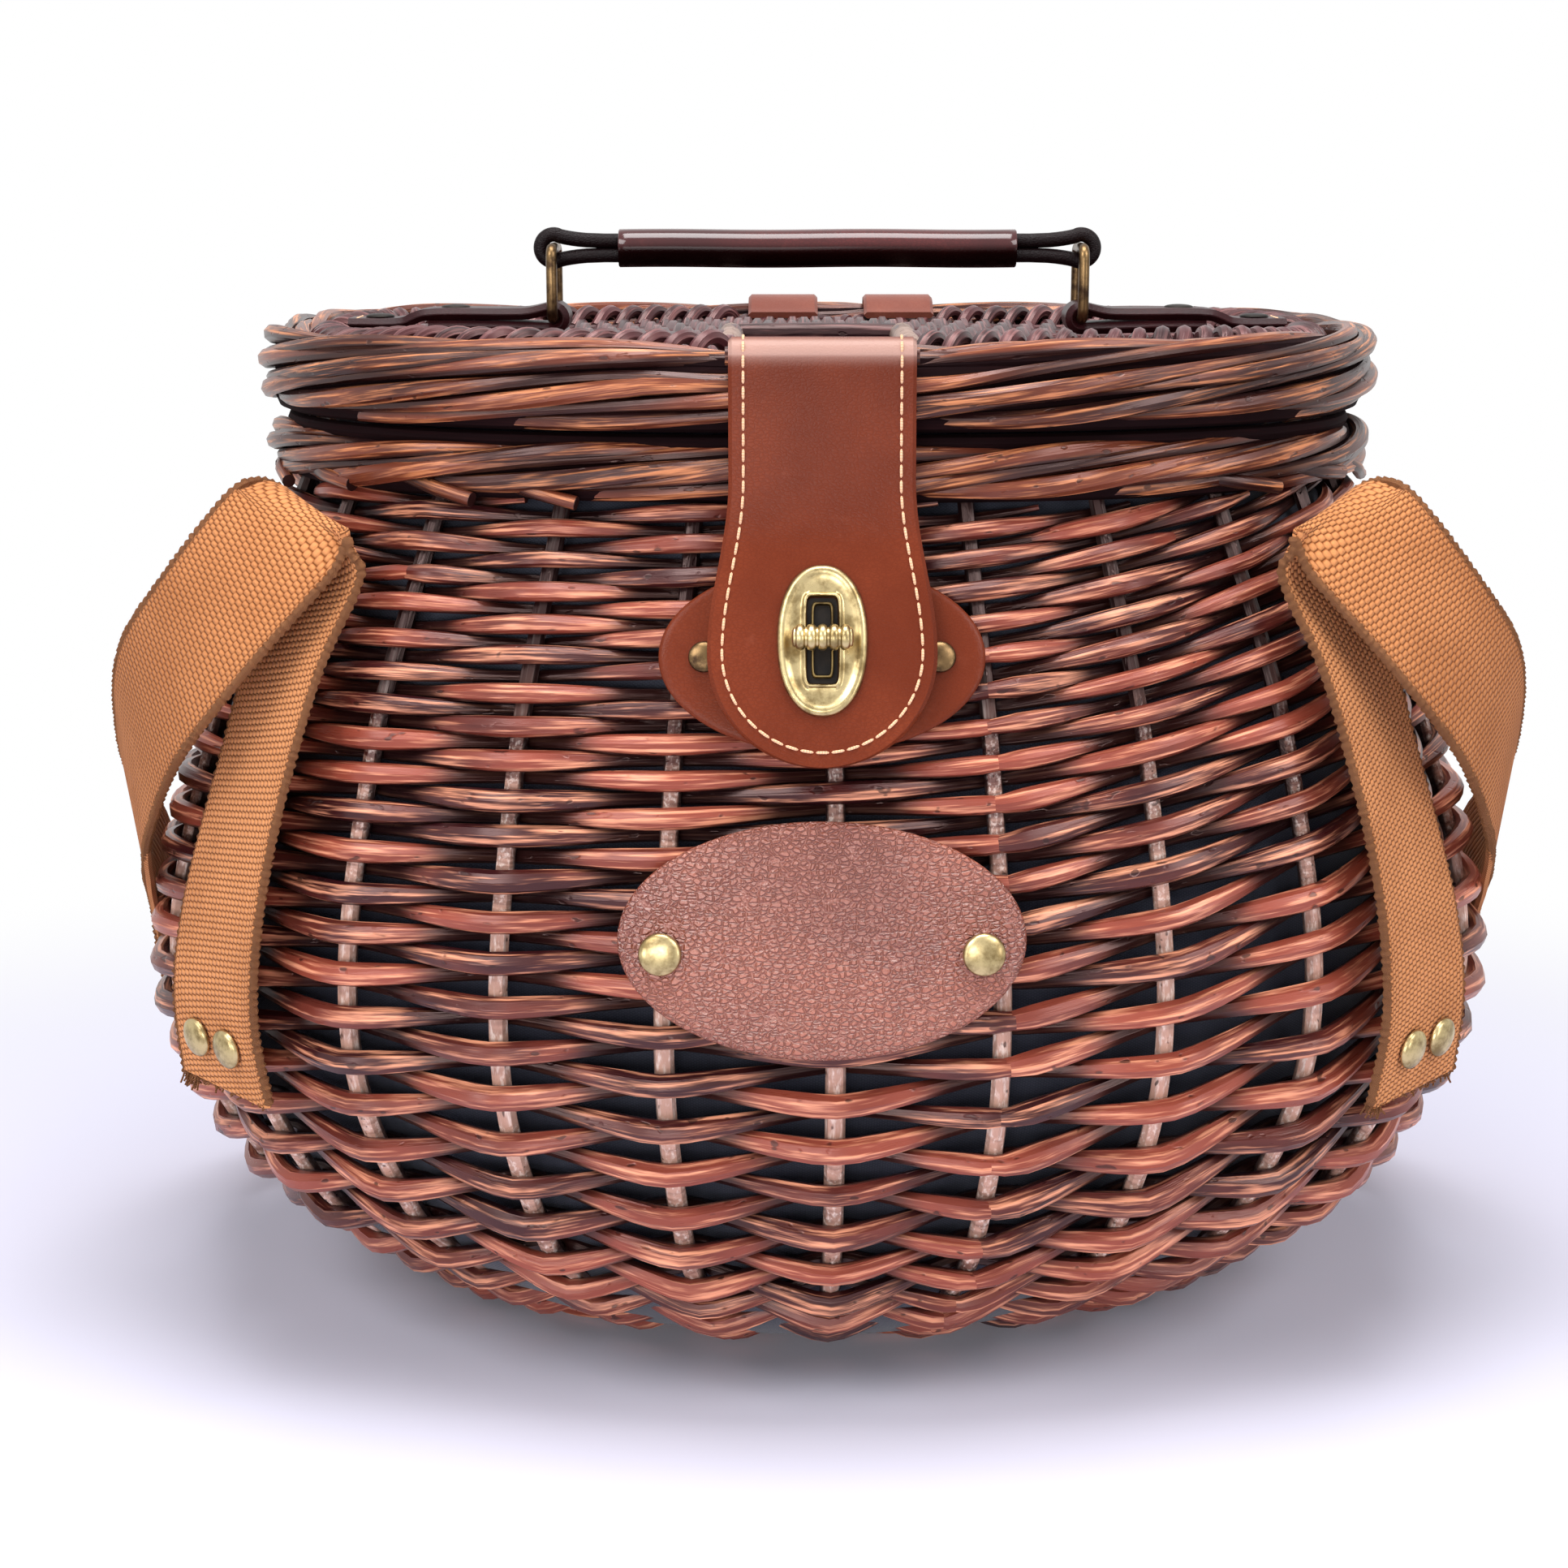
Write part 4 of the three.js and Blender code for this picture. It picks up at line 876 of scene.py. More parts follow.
class Finishes:
    """All materials of the basket, each made once."""

    def __init__(self) -> None:
        """Makes the materials."""
        self.willows()
        self.leathers()
        self.metals()
        self.cloths()

    def willows(self) -> None:
        """The rods."""
        rod = dict(bump=0.45, depth=0.0005, specular=0.52, gleam=(1.0, 0.7, 0.66, 1.0))
        self.weaver = Willow(Surface("willow_weaver", **rod), (48, 15, 19), (142, 67, 51),
                             (250, 170, 132), streaks=0.85).make()
        self.stake = Willow(Surface("willow_stake", **rod), (74, 32, 26), (204, 160, 142),
                            (255, 238, 228)).make()
        self.border = Willow(Surface("willow_border", **rod), (34, 11, 12), (106, 51, 33),
                             (226, 146, 96), streaks=0.8).make()
        # The lid's rods are a greyer, purple copy of the willow: a painted reflection on the lid's upward
        # face.
        self.panel = Willow(Surface("willow_lid", **rod), (35, 14, 20), (78, 40, 44),
                            (150, 102, 100), gloss=0.24).make()
        self.shade = Willow(Surface("willow_shade", depth=0.0005, specular=0.05), (20, 8, 10),
                            (28, 11, 13), (34, 15, 16), gloss=0.7).make()
        self.wrap = Willow(Surface("willow_wrap", **rod), (96, 70, 62), (156, 130, 118),
                           (220, 202, 192), gloss=0.3, streaks=0.5).make()

    def leathers(self) -> None:
        """The leather pieces and the cord."""
        hide = dict(bump=0.25, depth=0.0003)
        label = Surface("leather_label", 0.9, 0.0009, specular=1.0, gleam=(1.0, 0.95, 0.93, 1.0))
        grip = Surface("leather_grip", 0.15, 0.0003, specular=0.06, coat=1.0, coat_rough=0.12)
        self.flap = Leather(Surface("leather_flap", **hide, specular=0.12), (116, 50, 28),
                            (96, 38, 20), (140, 74, 54), pebble_depth=0.25, gloss=0.18).make()
        self.label = Leather(label, (162, 89, 67), (132, 68, 52), (224, 164, 142),
                             pebbles=860.0, pebble_depth=0.8, gloss=0.2).make()
        self.tab = Leather(Surface("leather_tab", **hide, specular=0.12), (58, 22, 24),
                           (36, 13, 17), (92, 46, 42), pebble_depth=0.25, gloss=0.25).make()
        self.grip = Leather(grip, (84, 28, 28), (58, 18, 20), (108, 48, 44),
                            pebble_depth=0.2, gloss=0.1).make()
        self.cord = Leather(Surface("leather_cord", 0.4, specular=0.12), (24, 10, 12),
                            (12, 5, 7), (48, 26, 26), pebbles=1600.0).make()
        self.hinge = Leather(Surface("leather_hinge", **hide, specular=0.2), (142, 82, 66),
                             (116, 62, 50), (172, 112, 96)).make()

    def metals(self) -> None:
        """The brass pieces."""
        metal = dict(depth=0.0002, metal=1.0)
        self.brass = Brass(Surface("brass_aged", 0.08, **metal), (150, 128, 84), (66, 50, 30),
                           gloss=0.24).make()
        self.bright_brass = Brass(Surface("brass_rubbed", 0.05, **metal), (198, 178, 132),
                                  (118, 98, 62)).make()
        self.wire = Brass(Surface("brass_wire", 0.06, **metal), (118, 94, 64), (50, 36, 28), 0.95,
                          0.22).make()
        self.recess = Brass(Surface("brass_recess", 0.1, 0.0002, 0.6), (30, 22, 16), (14, 10, 9),
                            gloss=0.4).make()

    def cloths(self) -> None:
        """The webbing, the lining and the sewing thread."""
        self.webbing = Cloth(Surface("cotton_webbing", 1.0, 0.0007, specular=0.08, sheen=0.05),
                             (232, 158, 102), (128, 68, 28), 600.0, 540.0, 0.34).make()
        self.lining = Cloth(Surface("lining_cloth", 0.4, 0.0002, specular=0.2, sheen=0.2),
                            (62, 64, 76), (40, 42, 52), 1400.0, 1400.0).make()
        self.thread = Cloth(Surface("sewing_thread", 0.5, 0.0002, specular=0.3, sheen=0.2),
                            (246, 202, 164), (212, 156, 112), 1600.0, 3.0, 0.35, 0.2).make()


@dataclass(frozen=True)
class Level:
    """The basket's plan at one height."""

    z: float
    width: float
    front: float
    back: float
    round: float


@dataclass
class BasketForm:
    """The bellied wall: a plan eased between stated levels, in millimetres."""

    levels: tuple[Level, ...] = (
        Level(0, 111, 54, 68, 1.85),
        Level(18, 139, 95, 85, 1.75),
        Level(45, 169, 119, 96, 2.05),
        Level(102, 191, 134, 103, 2.2),
        Level(180, 173, 125, 99, 2.4),
        Level(240, 147, 105, 90, 2.4),
    )
    back_round: float = 4.5
    grid: float = 4.0
    shares: int = 720

    def __post_init__(self) -> None:
        """Works out the slopes and the table that spaces points evenly round the wall."""
        self.heights = np.array([level.z for level in self.levels], float)
        self.values = np.array([(v.width, v.front, v.back, v.round) for v in self.levels], float)
        place = np.arange(len(self.levels))
        low, high = np.maximum(place - 1, 0), np.minimum(place + 1, place[-1])
        rise = (self.heights[high] - self.heights[low])[:, None]
        self.slopes = (self.values[high] - self.values[low]) / rise
        steps = np.arange(0, self.heights[-1] + 3 * self.grid, self.grid)
        self.table = np.stack([self.even_angles(self.plan_at(z)) for z in steps])

    def plan(self, z: Array) -> Array:
        """Works out plans.

        Args:
            z: Heights.

        Returns:
            Half width, front, back and roundness at each height.
        """
        i = np.clip(np.searchsorted(self.heights, z, side="right") - 1, 0, len(self.levels) - 2)
        span = (self.heights[i + 1] - self.heights[i])[:, None]
        t = (z - self.heights[i])[:, None] / span
        return ((1 + 2 * t) * (1 - t) ** 2 * self.values[i] + t * (1 - t) ** 2 * span * self.slopes[i]
                + t * t * (3 - 2 * t) * self.values[i + 1] - t * t * (1 - t) * span * self.slopes[i + 1])

    def plan_at(self, z: float) -> Array:
        """The plan at one height."""
        return self.plan(np.array([z], float))[0]

    def outline(self, plan: Array | Plan, angle: Array) -> Array:
        """Points of plan outlines.

        Args:
            plan: One plan, or one per angle.
            angle: 0 is the front middle, a quarter turn the side at +X.

        Returns:
            Their x and y.
        """
        wide, front, back, bend = np.broadcast_to(plan, (len(angle), 4)).T
        s, c = np.sin(angle), np.cos(angle)
        power = 2 / np.where(c >= 0, bend, self.back_round)
        return rows(wide * signed(s, power), np.where(c >= 0, -front, back) * np.abs(c) ** power)

    def even_angles(self, plan: Array | Plan) -> Array:
        """Splits a plan's outline into equal shares.

        Args:
            plan: The plan.

        Returns:
            The angles.
        """
        angles = np.linspace(0, TURN, 1441)
        run = lengths(self.outline(plan, angles))
        return np.interp(np.linspace(0, run[-1], self.shares + 1), run, angles)

    def edge(self, plan: Plan, share: Array) -> tuple[Array, Array]:
        """Points on a plan's outline.

        Args:
            plan: The plan.
            share: Shares of the way round it.

        Returns:
            The points and their outward directions, as x and y.
        """
        table = self.even_angles(plan)
        angles = np.interp(np.mod(share, 1.0), np.linspace(0, 1, self.shares + 1), table)
        before, after = (self.outline(plan, angles + turn) for turn in (-0.004, 0.004))
        along = unit(after - before)
        return self.outline(plan, angles), rows(along[:, 1], -along[:, 0])

    def angle_at(self, share: Array, z: Array) -> Array:
        """The angle at a place on the wall.

        Args:
            share: Shares of the way round, counted from the front middle.
            z: Heights.

        Returns:
            The angles.
        """
        row = np.clip(z / self.grid, 0, len(self.table) - 1.001)
        col = np.mod(share, 1.0) * self.shares
        r, c = row.astype(int), np.minimum(col.astype(int), self.shares - 1)
        a, b = row - r, col - c
        t = self.table
        return ((1 - a) * ((1 - b) * t[r, c] + b * t[r, c + 1])
                + a * ((1 - b) * t[r + 1, c] + b * t[r + 1, c + 1]))

    def spot(self, share: Array, z: Array) -> Array:
        """Points on the wall's outside."""
        return np.column_stack([self.outline(self.plan(z), self.angle_at(share, z)), z])

    def normal(self, share: Array, z: Array) -> Array:
        """Outward directions of the wall."""
        across, up = (self.spot(share + a, z + b) - self.spot(share - a, z - b)
                      for a, b in ((0.002, 0), (0, 0.5)))
        return unit(np.cross(across, up))

    def face(self, x: Array, z: Array) -> Array:
        """Finds points of the wall's front.

        Args:
            x: Places across it.
            z: Heights.

        Returns:
            The points.
        """
        plan = self.plan(z)
        share = np.minimum(np.abs(x) / plan[:, 0], 0.999)
        return rows(x, -plan[:, 1] * (1 - share ** plan[:, 3]) ** (1 / plan[:, 3]), z)

    def face_normal(self, x: Array, z: Array) -> Array:
        """Outward directions of the wall's front."""
        across, up = (self.face(x + a, z + b) - self.face(x - a, z - b) for a, b in ((0.5, 0), (0, 0.5)))
        return unit(np.cross(across, up))

    def front_seat(self, x: float, z: float) -> tuple[Array, Array]:
        """One point of the wall's front and its outward direction."""
        place = np.array([x], float), np.array([z], float)
        return self.face(*place)[0], self.face_normal(*place)[0]


@dataclass
class WovenWall:
    """The wall: upright stakes, and weavers that pass in front of one and behind the next."""

    form: BasketForm
    finishes: Finishes
    stakes: int = 24
    first_stake: float = 0.0035
    steps: int = 8
    low: float = 3.0
    high: float = 241.0
    proud: float = 0.1
    crisp: float = 0.94
    # Painted shade on the undersides of the wall's rods.
    stain: float = 1.2
    floor: float = 9.0
    bag_girth: float = 1.06
    mat_middle: float = 7.0
    mat_rings: int = 11

    def __post_init__(self) -> None:
        """Sets the random source and the slant of the rows round the basket."""
        self.rng = np.random.default_rng(SEED)
        knots = (-0.5, -0.4, -0.3, -0.25, -0.12, 0, 0.03, 0.06, 0.09, 0.127, 0.18, 0.25, 0.33, 0.42, 0.5)
        rises = (12, 2, -6, -8, -4, 0, 1, 4.5, 10, 18, 29, 39, 41, 29, 12)
        self.turns = np.linspace(-0.5, 0.5, 400, endpoint=False)
        self.slant = soften(np.interp(self.turns, knots, rises), 30, 9.0, "wrap")

    def rise(self, share: Array, z: float) -> Array:
        """How far a row has climbed at a share of the way round."""
        near = np.interp(np.mod(share + 0.5, 1.0) - 0.5, self.turns, self.slant, period=1.0)
        return near * np.interp(z, [0, 60, 150, 190, 240], [0.55, 0.7, 1.0, 0.9, 0.7])

    @staticmethod
    def pitch(z: float) -> float:
        """Distance between rows on the wall."""
        return float(np.interp(z, [0, 45, 75, 110, 150, 190, 240], [7.6, 7.4, 6.9, 6.1, 5.2, 4.4, 3.8]))

    @staticmethod
    def thickness(z: Values) -> Array:
        """Radius of the weavers."""
        return np.interp(z, [0, 60, 110, 150, 190, 240], [3.1, 3.25, 3.1, 2.85, 2.5, 2.3])

    def throw(self, z: Values) -> Array:
        """How far a weaver swings out of the stakes' line."""
        return self.thickness(z) + 1.4

    def core(self, z: Values) -> Array:
        """Place of the stakes' line inside the wall's outside."""
        return self.proud - self.throw(z) - self.thickness(z)

    def row_heights(self) -> list[float]:
        """Heights of the rows at the front middle, with the part rows that only show at one side."""
        def step(z: float) -> float:
            """Height of one row on the sloping wall."""
            low, high = self.form.plan(max(z, 0.5) + np.array([-0.5, 0.5]))
            return self.pitch(z) / math.hypot(1, 0.5 * np.abs(high - low)[:2].sum())
        heights = [self.low + 1.5]
        while heights[0] > self.low - 34:
            heights.insert(0, heights[0] - step(self.low))
        while heights[-1] < self.high + 9:
            heights.append(heights[-1] + step(heights[-1]))
        return heights

    def rod(self, draft: Draft, row: int, z: float, begin: float, end: float, shake: Array) -> None:
        """One weaver of a row.

        Args:
            draft: Where it is added.
            row: The row's number.
            z: The row's height at the front middle.
            begin: First place, in stakes.
            end: Last place, in stakes.
            shake: Small height errors at the stakes.
        """
        k = np.arange(round(begin * self.steps), round(end * self.steps) + 1) / self.steps
        share = self.first_stake + k / self.stakes
        wobble = np.interp(np.mod(k, self.stakes), np.arange(self.stakes + 1), np.append(shake, shake[0]))
        wave = np.arcsin(self.crisp * np.cos(math.pi * (k + row))) / math.asin(self.crisp)
        wobble = wobble - np.interp(z, [0, 70, 130, 190], [1.5, 1.4, 0.7, 0.2]) * wave
        height = np.clip(z + self.rise(share, z) + wobble, self.low - 1, self.high + 3)
        out = self.core(height) + self.throw(height) * wave * self.rng.uniform(0.92, 1.03)
        normal = self.form.normal(share, height)
        path = self.form.spot(share, height) + normal * out[:, None]
        size = self.thickness(height) * self.rng.uniform(0.88, 1.06)
        taper = 1.06 - 0.14 * np.linspace(0, 1, len(k))
        size = size * taper * (0.74 + 0.32 * smooth(wave, -0.6, 0.9))
        size = size * (0.45 + 0.55 * smooth(np.minimum(k - k[0], k[-1] - k), 0, 0.45))
        # The cover follows the wave: each weaver is darker where it passes behind a stake, partly darker
        # stain and partly painted shade, and its underside gets painted shade.
        draft.tube(path, size, 8, normal, self.rng.uniform(0, 1), wave, flat=0.94,
                   start=self.rng.uniform(0, 3), stain=self.stain)

    def weave(self) -> Draft:
        """All weavers of the wall."""
        draft = Draft()
        grid = np.arange(0, self.stakes, 1 / 4)
        for row, z in enumerate(self.row_heights()):
            shake = self.rng.normal(0, 0.4, self.stakes)
            level = z + self.rise(self.first_stake + grid / self.stakes, z)
            shows = (level > self.low) & (level < self.high)
            if not shows.any():
                continue
            for begin, end in self.runs(grid, shows):
                place = begin
                while place < end - 0.6:
                    stop = min(place + float(self.rng.choice([4, 6, 6, 8, 10])), end)
                    if place == begin and end - begin > 20:
                        stop = 2 * math.floor((stop + row) / 2) - row + 1.0
                    self.rod(draft, row, z, place - 0.3, stop + 0.3, shake)
                    place = stop
        return draft

    def runs(self, grid: Array, shows: Array) -> list[Pair]:
        """Finds the stretches of a row that lie on the wall.

        Args:
            grid: Places along the row, in stakes.
            shows: True where the row lies on the wall.

        Returns:
            First and last place of each stretch.
        """
        if shows.all():
            return [(1.0, 1.0 + self.stakes)]
        start = int(np.argmin(shows))
        order = np.roll(shows, -start)
        edges = np.diff(np.concatenate([[0], order.astype(int), [0]]))
        firsts, lasts = np.flatnonzero(edges == 1), np.flatnonzero(edges == -1)
        return [(grid[start] + a / 4, grid[start] + (b - 1) / 4) for a, b in zip(firsts, lasts)
                if b - a > 5]

    def uprights(self) -> Draft:
        """The stakes."""
        draft = Draft()
        z = np.linspace(1.5, 243, 60)
        for k in range(self.stakes):
            share = np.full(60, self.first_stake + k / self.stakes) + self.rng.normal(0, 0.0006)
            normal = self.form.normal(share, z)
            path = self.form.spot(share, z) + normal * (self.core(z) - 0.3)[:, None]
            size = np.interp(z, [0, 240], [2.7, 2.15]) * self.rng.uniform(0.9, 1.08)
            # Painted highlight and shade: the stakes are set lighter around mid height and darker towards the
            # bottom and the top, with painted shade on the side facing into the wall.
            tint = np.interp(z, [0, 40, 85, 140, 190], [0.3, 0.5, 1.0, 0.75, 0.1])
            tint = tint + self.rng.uniform(-0.1, 0.1)
            cover = np.interp(z, [0, 35, 75, 130, 205], [0.0, 0.3, 1.0, 1.0, -0.4])
            draft.tube(path, size, 8, normal, tint, cover, start=self.rng.uniform(0, 2), stain=self.stain)
        return draft

    def lining(self) -> Draft:
        """The cloth bag inside the wall."""
        draft = Draft()
        share = np.linspace(0, 1, 192, endpoint=False)
        rings = []
        for z in (self.floor, *np.linspace(11, 237.5, 46), 243.0, 250.0):
            level = np.full(len(share), min(z, 240.0))
            depth = 2 * (self.throw(z) + self.thickness(z)) + 0.9
            pucker = 0.8 * np.cos(TURN * self.stakes * share) + 0.4 * np.sin(TURN * 17 * share + z / 9)
            inward = self.form.normal(share, level) * (depth + pucker)[:, None]
            ring = self.form.spot(share, level) - inward
            ring[:, 2] = z
            rings.append(ring)
        bottom = [rings[0] * vec(s, s, 1) + vec(0, 4 * (1 - s), 0) for s in (0.05, 0.4, 0.75)]
        skin = np.stack(bottom + rings)
        around = np.linspace(0, self.bag_girth, len(share) + 1)
        draft.skin(skin, lengths(skin[:, 0]) * MM, around, capped=False)
        return draft

    def base(self) -> Draft:
        """The woven mat that the basket stands on."""
        draft = Draft()
        share = np.linspace(0, 1, self.stakes * 6, endpoint=False)
        edge = self.form.spot(share, np.full(len(share), 0.5))[:, :2]
        middle = vec(0, self.mat_middle)
        for ring in range(self.mat_rings):
            flat = middle + (edge - middle) * (0.93 - ring * 0.075)
            wave = np.cos(math.pi * (share * self.stakes + ring))
            path = rows(*flat.T, 4.1 + 1.5 * wave)
            # Painted shade: the cover is minus the wave, so each ring is darker where it rises behind the
            # spokes, seen from below.
            draft.tube(path, 2.5, 8, UP, self.rng.uniform(0, 1), -wave, closed=True)
        for k in range(self.stakes):
            at = self.form.spot(np.array([k / self.stakes]), np.array([0.5]))[0, :2]
            spoke = middle + (at - middle) * np.linspace(0.1, 0.96, 8)[:, None]
            draft.tube(rows(*spoke.T, 4.2), 2.0, 8, tint=self.rng.uniform(0, 1))
        for y in np.linspace(-6, 20, 6):
            draft.tube(rows(np.linspace(-34, 34, 6), y, 4.2), 2.3, 8, tint=self.rng.uniform(0, 1))
        return draft

    def build(self) -> None:
        """Makes and settles the wall, its lining and the base."""
        kit = self.finishes
        self.weave().settle("wall_weavers", kit.weaver, Body.BASKET, Slot.WILLOW, "wall")
        self.uprights().settle("wall_stakes", kit.stake, Body.BASKET, Slot.WILLOW, "wall")
        bag = self.lining().settle("lining_bag", kit.lining, Body.BASKET, Slot.LINING, "lining")
        self.base().settle("base_mat", kit.weaver, Body.BASKET, Slot.WILLOW, "base")


@dataclass
class Keepout:
    """Room that a border leaves for a leather loop turning on a rod along x."""

    span: Pair
    rod: Pair
    radius: float
    way: Pair

    def push(self, path: Array, size: float) -> Array:
        """Moves a rod's points out of the room.

        Args:
            path: The rod's middle line.
            size: Its radius.

        Returns:
            The moved line.
        """
        x, (low, high) = path[:, 0], self.span
        inside = smooth(x, low - 30, low - 2) * (1 - smooth(x, high + 2, high + 30))
        off = path[:, 1:] - vec(*self.rod)
        gap = np.linalg.norm(off, axis=1)
        want = self.radius + size + 0.3
        way = off / np.maximum(gap, 1e-6)[:, None]
        lean = np.clip(1 - way @ np.array(self.way), 0, 2)[:, None]
        goal = vec(*self.rod) + unit(way + np.array(self.way) * lean) * want
        shift = (inside * smooth(want - gap, 0, 1.2))[:, None] * (goal - path[:, 1:])
        moved = path.copy()
        for k in range(2):
            moved[:, k + 1] += soften(shift[:, k], 6, 2.4, "edge")
        return moved


@dataclass
class RolledBorder:
    """A border of willow rods that climb round its section as they run along it."""

    form: BasketForm
    plan: Plan
    width: float
    low: float
    high: float
    rods: int
    length: float
    size: float
    seed: int
    keepouts: tuple[Keepout, ...]
    swells: float = 7.0
    sink: float = 1.3
    square: float = 3.2
    steps: int = 120

    def __post_init__(self) -> None:
        """Works out the middle of the section and the table that spaces rods evenly round it."""
        self.middle = (self.low + self.high) / 2
        angles = np.linspace(0, TURN, 721) + 1.25 * math.pi
        run = lengths(self.oval(angles, 0.0))
        self.climb = (run / run[-1], angles)

    def oval(self, angle: Array, inset: Values) -> Array:
        """Finds points on the section's rounded square.

        Args:
            angle: Their angles.
            inset: How far they lie inside it.

        Returns:
            Their outward offset and height.
        """
        wide, tall = self.width / 2 - inset, (self.high - self.low) / 2 - inset
        power = 2 / self.square
        return rows(wide * signed(np.cos(angle), power), tall * signed(np.sin(angle), power))

    def section(self, turn: Array, size: Array) -> Array:
        """Finds the place of a rod in the section.

        Args:
            turn: Shares from 0 to 1, starting at the inner lower corner and passing under the border.
            size: Radius of the rod there.

        Returns:
            Outward offset and height.
        """
        angle = np.interp(np.mod(turn, 1.0), *self.climb)
        return self.oval(angle, size) + vec(-self.width / 2, self.middle)

    def draw(self) -> Draft:
        """The rods of the border."""
        rng = np.random.default_rng(self.seed)
        draft = Draft()
        run = np.linspace(0, 1, self.steps)
        for i in range(self.rods):
            span = self.length * rng.uniform(0.93, 1.07)
            share = (i + rng.uniform(-0.15, 0.15)) / self.rods + run * span
            size = self.size * rng.uniform(0.88, 1.12) * (1.08 - 0.2 * run)
            turn = run + 0.02 * np.sin(TURN * (run * rng.uniform(1, 2) + rng.uniform()))
            flat, out = self.form.edge(self.plan, share)
            dip = 0.5 - 0.5 * np.cos(TURN * (share * self.swells + 0.5 * i))
            place = self.section(turn, size * 0.96 + self.sink * dip)
            path = np.column_stack([flat + out * place[:, :1], place[:, 1]])
            for room in self.keepouts:
                path = room.push(path, float(size.mean()))
            outs = unit(path - rows(*(flat - out * self.width / 2).T, self.middle))
            ends = 0.5 + 0.5 * smooth(np.minimum(run, 1 - run), 0, 0.05)
            size = size * ends * (1.08 - 0.36 * dip)
            # Painted shade: the cover drops where a rod sinks into the border and on its underside, and the
            # rod material turns dark there.
            draft.tube(path, size, 8, outs, rng.uniform(0, 1), 0.9 - 1.3 * dip, start=rng.uniform(0, 3),
                       stain=1.5)
        return draft

    def core(self, crest: float = 0.0) -> Draft:
        """Dark hoops in the middle of the border, so that no light passes.

        Args:
            crest: How far a thinner hoop stands above the border, apart from its back.

        Returns:
            A new draft.
        """
        draft = Draft()
        flat, out = self.form.edge(self.plan, np.linspace(0, 1, 160, endpoint=False))
        inner = flat - out * self.width / 2
        for drop in np.linspace(self.low + 2.8, self.high - 4.8, 5):
            path = rows(*inner.T, drop)
            for room in self.keepouts:
                path = room.push(path, 3.0)
            draft.tube(path, 3.2, 8, UP, 0.2, closed=True)
        if crest:
            slim = 2.2
            top = self.high + crest - slim - 7 * smooth(inner[:, 1], 45, 75)
            draft.tube(rows(*inner.T, top), slim, 8, UP, 0.2, closed=True)
        return draft


@dataclass
class Rim:
    """The wall's rolled border, with its hinge rod and the cut ends of its rods."""

    form: BasketForm
    finishes: Finishes
    plan: Plan = (151, 109, 94, 2.4)
    width: float = 16.0
    low: float = 240.3
    high: float = 254.8
    rods: int = 26
    crest: float = 1.8
    hinge_rod: float = 3.0
    ends: int = 24

    def build(self) -> None:
        """Makes and settles the rim."""
        room = Keepout(HINGE_SPAN, HINGE_ROD, HINGE_ROOM, (-0.8, -0.6))
        border = RolledBorder(self.form, self.plan, self.width, self.low, self.high, self.rods, 0.35, 2.25,
                              SEED + 1, (room,))
        draft = border.draw()
        core = border.core(self.crest)
        core.settle("rim_core", self.finishes.shade, Body.BASKET, Slot.WILLOW, "rim_border")
        draft.tube(rows(np.linspace(-40, 56, 24), *HINGE_ROD), self.hinge_rod, 12, tint=0.4)
        self.cut_ends(draft)
        draft.settle("rim_rods", self.finishes.border, Body.BASKET, Slot.WILLOW, "rim_border")

    def cut_ends(self, draft: Draft) -> None:
        """Adds short rod ends that stick out under the rim.

        Args:
            draft: The rim's draft.
        """
        rng = np.random.default_rng(SEED + 5)
        steps = 7
        for k in range(self.ends):
            centre = (k + 0.35) / self.ends + rng.uniform(-0.006, 0.006)
            share = centre + np.linspace(-0.024, 0.0, steps)
            z = np.linspace(244.5, 240.6 + rng.uniform(-1.5, 2.5), steps)
            level = np.minimum(z, 240.0)
            out = np.interp(np.linspace(0, 1, steps), [0, 0.5, 1], [-1.0, 1.6, 2.0])
            path = self.form.spot(share, level) + self.form.normal(share, level) * out[:, None]
            path[:, 2] = z
            if rng.uniform() < 0.3 or (abs(path[-1, 0]) < 32 and path[-1, 1] < 0):
                continue
            path = np.vstack([path, path[-1:] + 0.06 * (path[-1:] - path[-2:-1])])
            outs = self.form.normal(np.append(share, centre), np.full(steps + 1, 239.0))
            # Painted shade: each cut end is darker where it comes out from under the rim and on its
            # underside; its cut face is set darkest.
            draft.tube(path, rng.uniform(1.6, 2.0), 10, outs, rng.uniform(0.2, 0.8),
                       np.append(np.linspace(-0.6, 0.6, steps), -1.0), start=rng.uniform(0, 2), stain=0.8)


